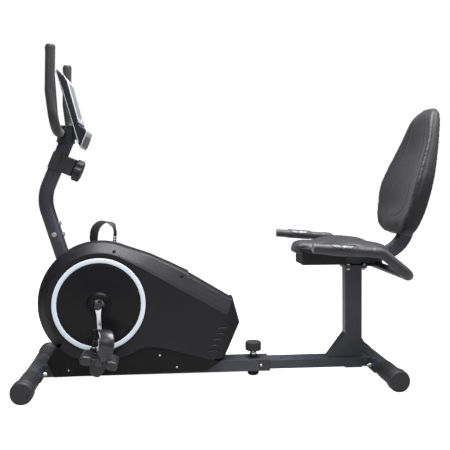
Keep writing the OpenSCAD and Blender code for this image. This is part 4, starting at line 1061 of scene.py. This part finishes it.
def screws(places, head, look):
    """A screw at each place, on both sides of the bike."""
    return [lathe("screw", head, place(s, side * y, z), SIDEWAYS * side, look, 24)
            for side in (-1, 1) for s, y, z in places]


def build_screws():
    """Dark screws down in the housing's recesses, small bright ones on the lower covers and the sleeve."""
    dark = screws(HOUSING_SCREWS, SUNK_HEAD, "cap_plastic")
    bright = screws(COVER_SCREWS, COVER_HEAD, "bright_steel")
    bright += screws([SLEEVE_SCREW], SLEEVE_HEAD, "bright_steel")
    fixed(join("dark_screws", dark), "frame", "cap_plastic", "cover_screws")
    fixed(join("bright_screws", bright), "frame", "bright_steel")


build_caps()
build_knobs()
build_spring()
build_screws()

# ---------------------------------------------------------------- foam grips and side handles

FOAM_RIM = 2.2
BAR_Y = 180
BAR_GRIP_END_Y = 88
BAR_GRIP_R = 16
BAR_BEND = 0.062
# (s, z) from the tip of the handlebar down
BAR_LINE = [(77, 1134), (75, 985), (92, 858)]


def foam_sleeve(name, path, radius):
    """A foam sleeve along a path of vectors, with rounded rims at both ends."""
    path = even_path(path, 0.005)
    reach = [0.0]
    for a, b in zip(path, path[1:]):
        reach.append(reach[-1] + (b - a).length)
    radii = []
    for d in reach:
        end = min(d, reach[-1] - d) / MM
        radii.append((radius - FOAM_RIM * (1 - smooth(end, 0, 6)) ** 2) * MM)
    return loft(name, sweep_loops(path, radii, 40), "foam_grip", 50)


def build_bar_grips():
    sleeves = []
    for side in (-1, 1):
        points = [place(s, side * BAR_Y, z) for s, z in BAR_LINE]
        points.append(place(BAR_LINE[-1][0], side * BAR_GRIP_END_Y, BAR_LINE[-1][1]))
        sleeves.append(foam_sleeve("sleeve", along_path(points, BAR_BEND, 20), BAR_GRIP_R))
    fixed(join("bar_grips", sleeves), "frame", "foam_grip", "handlebar_grips")


HANDLE_Y = 310
HANDLE_TIP = (905, 484)
HANDLE_BEND = (1128, 467)
HANDLE_REAR = (1226, 389)
HANDLE_END_Y = 250
HANDLE_BEND_R = 0.036
REAR_SLEEVE_R = 16.8
# the side grip: radii, and places along it from its tip
GRIP_LENGTH = 200
GRIP_R = 15.6
GRIP_BULGE = 1.8
GRIP_TIP_RIM = 1.6
GRIP_REAR_RIM = 1.4
BULGE_FRONT = (38, 54)
BULGE_REAR = (132, 150)
PLATE_START = 48
PLATE_LENGTH = 90
PLATE_TOP_R = 17.5
PLATE_UNDER_R = 15.5
PLATE_LIFT = 1.2
PLATE_DIP = 1.0
# half angle that the plate covers, at its tips and how much more in its middle
PLATE_TIP_ANGLE = 6
PLATE_ANGLE = 78
PLATE_STEPS = 20
PLATE_ACROSS = 12


def sensor_plate(tip, along):
    """A thin plated shell over the top of the side grip, pointed at both ends."""
    above = SIDEWAYS.cross(along)
    if above.z < 0:
        above = -above
    loops = []
    for i in range(PLATE_STEPS + 1):
        u = i / PLATE_STEPS
        spread = PLATE_TIP_ANGLE + PLATE_ANGLE * math.sin(math.pi * u) ** 0.8
        centre = tip + along * (PLATE_START + PLATE_LENGTH * u) * MM
        # a shallow dip halfway parts the two contact pads
        lift = PLATE_LIFT - PLATE_DIP * bell(u - 0.5, 0.04)
        turns = [spread * (2 * k / PLATE_ACROSS - 1) for k in range(PLATE_ACROSS + 1)]
        ring = [(PLATE_TOP_R + lift, a) for a in turns] + [(PLATE_UNDER_R, -a) for a in turns]
        loops.append([centre + (above * cosd(a) + SIDEWAYS * sind(a)) * r * MM for r, a in ring])
    return loft("plate", loops, "plate_steel", 40)


def side_grip(tip, along):
    """Grip moulding with the bulge that carries the two plates."""
    path = even_path([tip, tip + along * GRIP_LENGTH * MM], 0.004)
    radii = []
    for p in path:
        d = (p - tip).length / MM
        ends = GRIP_TIP_RIM * (1 - smooth(d, 0, 5)) + GRIP_REAR_RIM * smooth(d, GRIP_LENGTH - 6, GRIP_LENGTH)
        bulge = GRIP_BULGE * smooth(d, *BULGE_FRONT) * (1 - smooth(d, *BULGE_REAR))
        radii.append((GRIP_R - ends + bulge) * MM)
    return loft("grip", sweep_loops(path, radii, 40), "foam_grip", 50)


def build_side_handles():
    sleeves = []
    plates = []
    for side in (-1, 1):
        tip, bend, rear = (place(s, side * HANDLE_Y, z) for s, z in (HANDLE_TIP, HANDLE_BEND, HANDLE_REAR))
        end = place(HANDLE_REAR[0], side * HANDLE_END_Y, HANDLE_REAR[1])
        along = (bend - tip).normalized()
        sleeves.append(side_grip(tip, along))
        plates.append(sensor_plate(tip, along))
        # the rear sleeve starts inside the end of the grip
        start = tip + along * (GRIP_LENGTH - 10) * MM
        path = along_path([start, bend, rear, end], HANDLE_BEND_R, 14)
        sleeves.append(foam_sleeve("rear_sleeve", path, REAR_SLEEVE_R))
    fixed(join("side_grips", sleeves), "seat_carriage", "foam_grip", "pulse_grips")
    fixed(join("sensor_plates", plates), "seat_carriage", "crank_chrome")


build_bar_grips()
build_side_handles()

# ---------------------------------------------------------------- console

CONSOLE_LEAN = 16.5
CONSOLE_HALF_W = 80
CONSOLE_FOOT = (160, 806)
WINDOW_LOW = 104
WINDOW_HIGH = 226
WINDOW_HALF_W = 58
KEY_PANEL_HALF_W = 66
KEY_POCKET_R = 7.5
# metres in front of and behind a key's middle
KEY_REACH = 0.012
KEY_DEPTH = 0.009
# side view of the console's front as (x, z), from the lower tip to the top; the window is from BEZEL_FROM on
CONSOLE_FRONT = [(0, 0), (34, 44), (37, 50), (36, 58), (31, 67), (22, 76), (20, 86), (21, 145), (23, 230),
                 (17, 253), (3, 281)]
BEZEL_FROM = 6
SKIN_T = 3.1
CONSOLE_SHARP = 38
LOBE_OUTLINE = [(-1, 1), (34, 44.5), (37, 50), (36.4, 57), (33.2, 56), (33.6, 50.6), (31, 46.5), (-1, 5.5)]
# outline (x, z) and, further down, half thickness of the pale strip that paints a highlight down the shell's
# rear edge
EDGE_HIGHLIGHT_OUTLINE = [(-6.4, 272), (-4.6, 276), (-0.4, 200), (0.4, 20), (-2.8, 20), (-2.6, 200)]
KEY_PANEL_OUTLINE = [(5.6, 6.4), (28.6, 36), (30, 35), (6.9, 5.4)]
EDGE_HIGHLIGHT_HALF_T = 1.6


def put_on_console(obj, look):
    """Moves a piece drawn in the console's own leaning millimetres to its place."""
    foot = Matrix.Translation(place(CONSOLE_FOOT[0], 0, CONSOLE_FOOT[1]))
    obj.data.transform(foot @ Matrix.Rotation(-math.radians(CONSOLE_LEAN), 4, "Y") @ Matrix.Scale(MM, 4))
    finish_mesh(obj, look, CONSOLE_SHARP)
    return obj


def console_shell():
    front = [(x - 3.2, z) for x, z in CONSOLE_FRONT[1:-1]]
    outline = [(-4, 20), (0.5, 3)] + front + [(-1, 280), (-6, 272)]
    return slab("console_body", outline, -CONSOLE_HALF_W, CONSOLE_HALF_W, "console_dark", 3.5, 4)


def console_bezel():
    """Silver frame round the window."""
    front = CONSOLE_FRONT[BEZEL_FROM:]
    outline = front + [(x - SKIN_T, z) for x, z in reversed(front)]
    bezel = slab("bezel", outline, -CONSOLE_HALF_W, CONSOLE_HALF_W, "console_silver", 1.2)
    low, high = (0, -WINDOW_HALF_W, WINDOW_LOW), (40, WINDOW_HALF_W, WINDOW_HIGH)
    cut(bezel, [rounded_box("hole", low, high, "console_silver", 6)], "console_silver", CONSOLE_SHARP)
    return bezel


def console_lobe():
    """Silver skin of the lower lobe that carries the keys."""
    return slab("lobe_skin", LOBE_OUTLINE, -CONSOLE_HALF_W, CONSOLE_HALF_W, "console_silver", 1.1)


def console_edge_highlight(side):
    """Pale strip down the rear edge of the shell's side: a painted highlight of that edge, built as a thin
    silver slab.
    """
    y = side * (CONSOLE_HALF_W - 1)
    return slab("trim", EDGE_HIGHLIGHT_OUTLINE, y - EDGE_HIGHLIGHT_HALF_T, y + EDGE_HIGHLIGHT_HALF_T, "console_silver", 0.5)


def key_panel():
    """Dark grey plate round the three keys."""
    return slab("key_panel", KEY_PANEL_OUTLINE, -KEY_PANEL_HALF_W, KEY_PANEL_HALF_W, "key_grey", 0.6)


def key_pockets():
    """Cutters that leave each key room to be pressed."""
    tilt = CONSOLE_LEAN + math.degrees(math.atan2(CONSOLE_FRONT[1][1], CONSOLE_FRONT[1][0]))
    inward = Vector((-sind(tilt), 0, cosd(tilt)))
    centres = [middle_of(key) for key in ("mode_button", "set_button", "reset_button")]
    return [rod(centre - inward * KEY_REACH, centre + inward * KEY_DEPTH, KEY_POCKET_R) for centre in centres]


def build_console():
    shell = put_on_console(console_shell(), "console_dark")
    lobe = put_on_console(console_lobe(), "console_silver")
    panel = put_on_console(key_panel(), "key_grey")
    for piece, look in ((shell, "console_dark"), (lobe, "console_silver"), (panel, "key_grey")):
        cut(piece, key_pockets(), look, CONSOLE_SHARP)
    # the silver parts include the pale strips that paint a highlight down the shell's rear edges
    silver = join("console_silver_parts", [console_bezel(), console_edge_highlight(-1), console_edge_highlight(1)])
    fixed(shell, "frame", "console_dark", "console_shell")
    fixed(put_on_console(silver, "console_silver"), "frame", "console_silver", "console_face")
    fixed(lobe, "frame", "console_silver")
    fixed(panel, "frame", "key_grey")


build_console()

# ---------------------------------------------------------------- upholstery

VOXEL = 0.0055
CLOTH_FRAMES = 20
CLOTH = {"quality": 6, "mass": 0.2, "tension_stiffness": 12, "compression_stiffness": 12,
         "shear_stiffness": 6, "bending_stiffness": 0.6, "use_pressure": True, "uniform_pressure_force": 4,
         "vertex_group_mass": "stapled"}


def curve(points, x):
    """A smooth line through (x, value) points, level beyond both ends."""
    if x <= points[0][0]:
        return points[0][1]
    if x >= points[-1][0]:
        return points[-1][1]
    i = max(k for k in range(len(points) - 1) if points[k][0] <= x)
    (x0, a), (x1, b) = points[i], points[i + 1]

    def slope(k):
        if k == 0 or k == len(points) - 1:
            return 0.0
        return (points[k + 1][1] - points[k - 1][1]) / (points[k + 1][0] - points[k - 1][0])

    t = (x - x0) / (x1 - x0)
    h = x1 - x0
    return (a * (1 + 2 * t) * (1 - t) ** 2 + slope(i) * h * t * (1 - t) ** 2
            + b * t * t * (3 - 2 * t) + slope(i + 1) * h * t * t * (t - 1))


def filled_with_air(obj, cap, hold):
    """Runs the cloth simulation of a cushion; no point moves by more than cap metres."""
    before = [v.co.copy() for v in obj.data.vertices]
    pins = obj.vertex_groups.new(name="stapled")
    for i, p in enumerate(before):
        pins.add([i], 1.0 if hold(p) else 0.0, "REPLACE")
    cloth = obj.modifiers.new("filling", "CLOTH")
    for setting, value in CLOTH.items():
        setattr(cloth.settings, setting, value)
    cloth.settings.effector_weights.gravity = 0
    cloth.collision_settings.use_collision = False
    scene = bpy.context.scene
    for number in range(1, CLOTH_FRAMES + 1):
        scene.frame_set(number)
    settle(obj)
    scene.frame_set(1)
    obj.vertex_groups.clear()
    for vertex, start in zip(obj.data.vertices, before):
        move = vertex.co - start
        if move.length > cap:
            vertex.co = start + move.normalized() * cap


def puffed(obj, look, cap, hold, soften):
    """Turns a block into a filled cushion; hold(point) tells where it is stapled to its board."""
    skin = obj.modifiers.new("skin", "REMESH")
    skin.mode = "VOXEL"
    skin.voxel_size = VOXEL
    skin.use_smooth_shade = True
    settle(obj)
    filled_with_air(obj, cap, hold)
    relax = obj.modifiers.new("relax", "SMOOTH")
    relax.factor = 0.5
    relax.iterations = soften
    finer = obj.modifiers.new("finer", "SUBSURF")
    finer.levels = 1
    finer.render_levels = 1
    settle(obj)
    finish_mesh(obj, look, 180)


SEAT_BOTTOM = 437
SEAT_STEPS = 70
SEAT_ROUND = 72
# half width and top of the seat at a distance s
SEAT_WIDTH = [(905, 34), (912, 50), (930, 60), (960, 74), (985, 98), (1010, 132), (1050, 164), (1100, 178),
              (1150, 178), (1188, 168), (1210, 148), (1226, 116), (1239, 82), (1246, 54)]
SEAT_TOP = [(905, 466), (915, 474), (935, 478), (975, 474), (1005, 480), (1055, 487), (1095, 488),
            (1150, 485), (1185, 482), (1206, 475), (1222, 465), (1238, 457), (1246, 451)]
SEAT_FRONT = SEAT_WIDTH[0][0]
SEAT_REAR = SEAT_WIDTH[-1][0]
SEAT_UNDER = SEAT_BOTTOM + 4
SEAT_CREASE = 5
SEAT_CREASE_W = 20
VALLEY = 12
VALLEY_W = 75
SEAM_Z = SEAT_BOTTOM + 17
SEAM_SINK = 1.1
SEAM_W = 4.6
CHANNEL_SINK = 1.5
CHANNEL_W = 3.5


def seat_point(s, turn):
    """A point of the seat block's cross section at s; turn is 0 at the right side and 90 at the top."""
    across, up = cosd(turn), sind(turn)
    y = curve(SEAT_WIDTH, s) * squarish(across, 0.45)
    if up < 0:
        return place(s, y, SEAT_UNDER - (SEAT_UNDER - SEAT_BOTTOM) * abs(up) ** 0.4)
    # the side leans in a little, and the top falls away towards the edge
    z = SEAT_UNDER + (curve(SEAT_TOP, s) - SEAT_UNDER) * up ** 0.4
    z -= SEAT_CREASE * bell(y, SEAT_CREASE_W) * smooth(s, 960, 1010)
    # a valley opens between the two lobes towards the rear
    z -= VALLEY * bell(y, VALLEY_W) * smooth(s, 1100, 1195) * up
    return place(s, y, z)


def seat_block():
    loops = []
    for i in range(SEAT_STEPS + 1):
        s = SEAT_FRONT + (SEAT_REAR - SEAT_FRONT) * (1 - math.cos(math.pi * i / SEAT_STEPS)) / 2
        loops.append([seat_point(s, 360 * k / SEAT_ROUND) for k in range(SEAT_ROUND)])
    return loft("seat_shape", loops, "seat_vinyl", 60)


def sew_seat(vertex):
    """Presses the seam round the side and the line between nose and lobes into the seat."""
    s = (vertex.co.x - FRONT_X) / MM
    y = vertex.co.y / MM
    z = vertex.co.z / MM
    on_side = abs(y) / curve(SEAT_WIDTH, s) > 0.72
    if on_side or s < SEAT_FRONT + 20 or s > SEAT_REAR - 21:
        sink = SEAM_SINK * MM * bell(z - SEAM_Z, SEAM_W)
        vertex.co.z -= sink
        vertex.co.y -= math.copysign(sink, y)
    if z > SEAT_BOTTOM + 24:
        channel = abs(y) - (26 + 30 * smooth(s, 960, 1100))
        fade = smooth(s, 950, 1000) * (1 - smooth(s, 1180, 1215))
        vertex.co.z -= CHANNEL_SINK * MM * bell(channel, CHANNEL_W) * fade


def build_seat():
    seat = seat_block()
    puffed(seat, "seat_vinyl", 0.006, lambda p: p.z < (SEAT_BOTTOM + 6) * MM, 9)
    for vertex in seat.data.vertices:
        sew_seat(vertex)
    fixed(seat, "seat_carriage", "seat_vinyl", "seat_cushion")


BACK_LEAN = 15
# the backrest's foot lies on the spar's arc
SPAR_R = 120
BACK_S = 1218 + SPAR_R * sind(90 - BACK_LEAN)
BACK_Z = 426 + SPAR_R * (1 - cosd(90 - BACK_LEAN))
BACK_LOW = -25
BACK_HIGH = 460
BACK_REAR = -16
BACK_HOLLOW = 26
BACK_STEPS = 90
# points of a cross section over the front, one side and the rear
FRONT_STEPS = 30
SIDE_STEPS = 10
REAR_STEPS = 12
# half width at a share of the height
BACK_WIDTH = [(0, 84), (0.015, 108), (0.05, 134), (0.1, 152), (0.17, 167), (0.26, 176), (0.36, 178),
              (0.46, 173), (0.6, 155), (0.74, 131), (0.86, 106), (0.93, 86), (0.975, 62), (1, 34)]
# how far forward the front's rim stands, at a height
BACK_FRONT = [(-25, -56), (2, -68), (66, -75), (119, -79), (170, -78), (242, -71), (313, -62), (384, -57),
              (430, -52), (460, -42)]
OVAL_Z = 118
OVAL_HALF_W = 92
OVAL_HALF_H = 82
OVAL_RISE = 2.0
OVAL_BORDER = 0.8
LINE_SINK = 1.8
PIPING = 1.2
PIPING_W = 6.5
GROOVE_W = 4.8
# from the row frame to the backrest's own leaning axes, in metres, and back
TO_BACK = Matrix.Rotation(-math.radians(BACK_LEAN), 4, "Y") @ Matrix.Translation(-place(BACK_S, 0, BACK_Z))
FROM_BACK = TO_BACK.inverted()


def on_back(x, y, z):
    """A point in the backrest's own leaning axes."""
    return place(BACK_S + x * cosd(BACK_LEAN) + z * sind(BACK_LEAN), y,
                 BACK_Z - x * sind(BACK_LEAN) + z * cosd(BACK_LEAN))


def back_section(u):
    """Cross section at a share u of the height: front from right to left, left side, rear, right side."""
    z = BACK_LOW + (BACK_HIGH - BACK_LOW) * u
    half = curve(BACK_WIDTH, u)
    rim = curve(BACK_FRONT, z)
    depth = BACK_REAR - rim
    hollow = BACK_HOLLOW * smooth(u, 0.0, 0.25) * (1 - smooth(u, 0.6, 1.0))
    front = [1 - 2 * k / FRONT_STEPS for k in range(FRONT_STEPS + 1)]
    side = []
    for k in range(1, SIDE_STEPS):
        t = k / SIDE_STEPS
        side.append((rim + depth * t, half + 5 * math.sin(math.pi * t) - 3 * t ** 3))
    rear = [-1 + 2 * k / REAR_STEPS for k in range(REAR_STEPS + 1)]
    return ([on_back(rim + hollow * (1 - v * v) ** 0.8, half * v, z) for v in front]
            + [on_back(x, -y, z) for x, y in side]
            + [on_back(BACK_REAR, (half - 3) * v, z) for v in rear]
            + [on_back(x, y, z) for x, y in reversed(side)])


def back_block():
    shares = [(1 - math.cos(math.pi * i / BACK_STEPS)) / 2 for i in range(BACK_STEPS + 1)]
    return loft("back_shape", [back_section(u) for u in shares], "seat_vinyl", 60)


def sew_back(p):
    """Moves a point of the backrest, in its own millimetres, for the oval, the lines and the piping."""
    u = (p.z - BACK_LOW) / (BACK_HIGH - BACK_LOW)
    half = curve(BACK_WIDTH, u)
    rim = curve(BACK_FRONT, p.z)
    front = 1 - smooth(p.x, rim + 10, rim + 22)
    oval = math.hypot(p.y / OVAL_HALF_W, (p.z - OVAL_Z) / OVAL_HALF_H)
    shift = -OVAL_RISE * (1 - smooth(oval, 0.84, 1.0)) + OVAL_BORDER * bell(oval - 1.02, 0.05)
    # two long pressed lines up the front
    line = abs(p.y) - (0.52 * half + 4)
    shift += LINE_SINK * bell(line, 3.5) * smooth(p.z, 215, 260) * (1 - smooth(p.z, 400, 440))
    # piped seam along the rim, and the groove behind it
    piping = PIPING * bell(math.hypot(abs(p.y) - half, (p.x - rim - 3) * 0.8), PIPING_W)
    p.x += shift * front
    p.y += math.copysign(piping, p.y)
    p.x -= piping
    groove = bell(p.x - rim - 14, GROOVE_W) * smooth(abs(p.y), half - 16, half - 4)
    p.y -= math.copysign(PIPING * groove, p.y)


def build_back():
    back = back_block()
    puffed(back, "back_vinyl", 0.005, lambda p: (TO_BACK @ p).x > (BACK_REAR - 8) * MM, 16)
    for vertex in back.data.vertices:
        p = (TO_BACK @ vertex.co) / MM
        sew_back(p)
        vertex.co = FROM_BACK @ (p * MM)
    fixed(back, "seat_carriage", "seat_vinyl", "backrest_cushion")


build_seat()
build_back()

# ---------------------------------------------------------------- looks of the CAD pieces that stay

def paint_the_rest():
    slots = {part["node"]: part["material_slot"] for part in frame["record"]["subparts"]}
    for name, node in frame["nodes"].items():
        node.data.materials.clear()
        node.data.materials.append(LOOKS[slots[name]])


paint_the_rest()

# ---------------------------------------------------------------- floor, light and camera

FLOOR_SIDE = 30
PAPER_GLOW = 1.0
ROOM_LEVEL = 0.14


def build_stage():
    bpy.ops.mesh.primitive_plane_add(size=FLOOR_SIDE, location=(0, 0, 0))
    floor = bpy.context.object
    floor.name = "floor"
    n = Nodes("floor_paper")
    # the camera sees the paper lit from behind, so that it stays as pale as the room
    seen = n.add("ShaderNodeLightPath", {}).outputs["Is Camera Ray"]
    n.feed(n.shader, {"Base Color": n.ramp(n.noise(3, 3), 0.3, 0.7, (0.34, 0.34, 0.34), (0.36, 0.36, 0.36)),
                      "Roughness": n.span(n.noise(20, 3), 0.7, 0.9), "Specular IOR Level": 0.1,
                      "Emission Color": (1, 1, 1, 1), "Emission Strength": n.span(seen, 0.0, PAPER_GLOW)})
    n.relief([(n.noise(300, 2), 0.05, 0.0002)])
    floor.data.materials.append(n.material)


def soft_light(name, where, aim, size, power):
    light = bpy.data.lights.new(name, "AREA")
    light.size = size
    light.energy = power
    obj = bpy.data.objects.new(name, light)
    obj.location = where
    obj.rotation_euler = (Vector(aim) - Vector(where)).to_track_quat("-Z", "Y").to_euler()
    bpy.context.scene.collection.objects.link(obj)


def build_light():
    """A white room seen by the camera, dimmer in reflections, with soft lights from above."""
    world = bpy.data.worlds.new("studio")
    world.use_nodes = True
    tree = world.node_tree
    background = tree.nodes["Background"]
    background.inputs["Color"].default_value = (1.0, 1.0, 1.0, 1)
    seen = tree.nodes.new("ShaderNodeLightPath")
    level = tree.nodes.new("ShaderNodeMapRange")
    level.inputs["To Min"].default_value = ROOM_LEVEL
    level.inputs["To Max"].default_value = 1.0
    tree.links.new(seen.outputs["Is Camera Ray"], level.inputs["Value"])
    tree.links.new(level.outputs["Result"], background.inputs["Strength"])
    bpy.context.scene.world = world
    soft_light("top", where=(0.1, -0.3, 3.2), aim=(0, 0, 0.4), size=2.6, power=385)
    soft_light("key", where=(-1.4, -2.4, 2.4), aim=(0, 0, 0.5), size=1.6, power=23)
    soft_light("rear_fill", where=(2.8, -1.2, 2.2), aim=(0.2, 0, 0.5), size=1.6, power=24)


CAMERA_PLACE = (433.5, -2213.2, 685.3)
CAMERA_YAW = 5.654
SENSOR = 36
LENS = 49.5048
# how far the picture's middle is from the camera's axis, as shares of its side
SHIFT_RIGHT = 0.0043778
SHIFT_UP = -0.0909111


def build_camera():
    camera = bpy.data.cameras.new("camera")
    obj = bpy.data.objects.new("camera", camera)
    bpy.context.scene.collection.objects.link(obj)
    obj.location = place(*CAMERA_PLACE)
    obj.rotation_euler = (math.radians(90), 0, -math.radians(CAMERA_YAW))
    camera.sensor_width = SENSOR
    camera.lens = LENS
    camera.shift_x = SHIFT_RIGHT
    camera.shift_y = SHIFT_UP
    camera.clip_end = 50
    bpy.context.scene.camera = obj


bpy.context.scene.view_settings.view_transform = "Standard"
build_stage()
build_light()
build_camera()

bpy.context.view_layer.update()
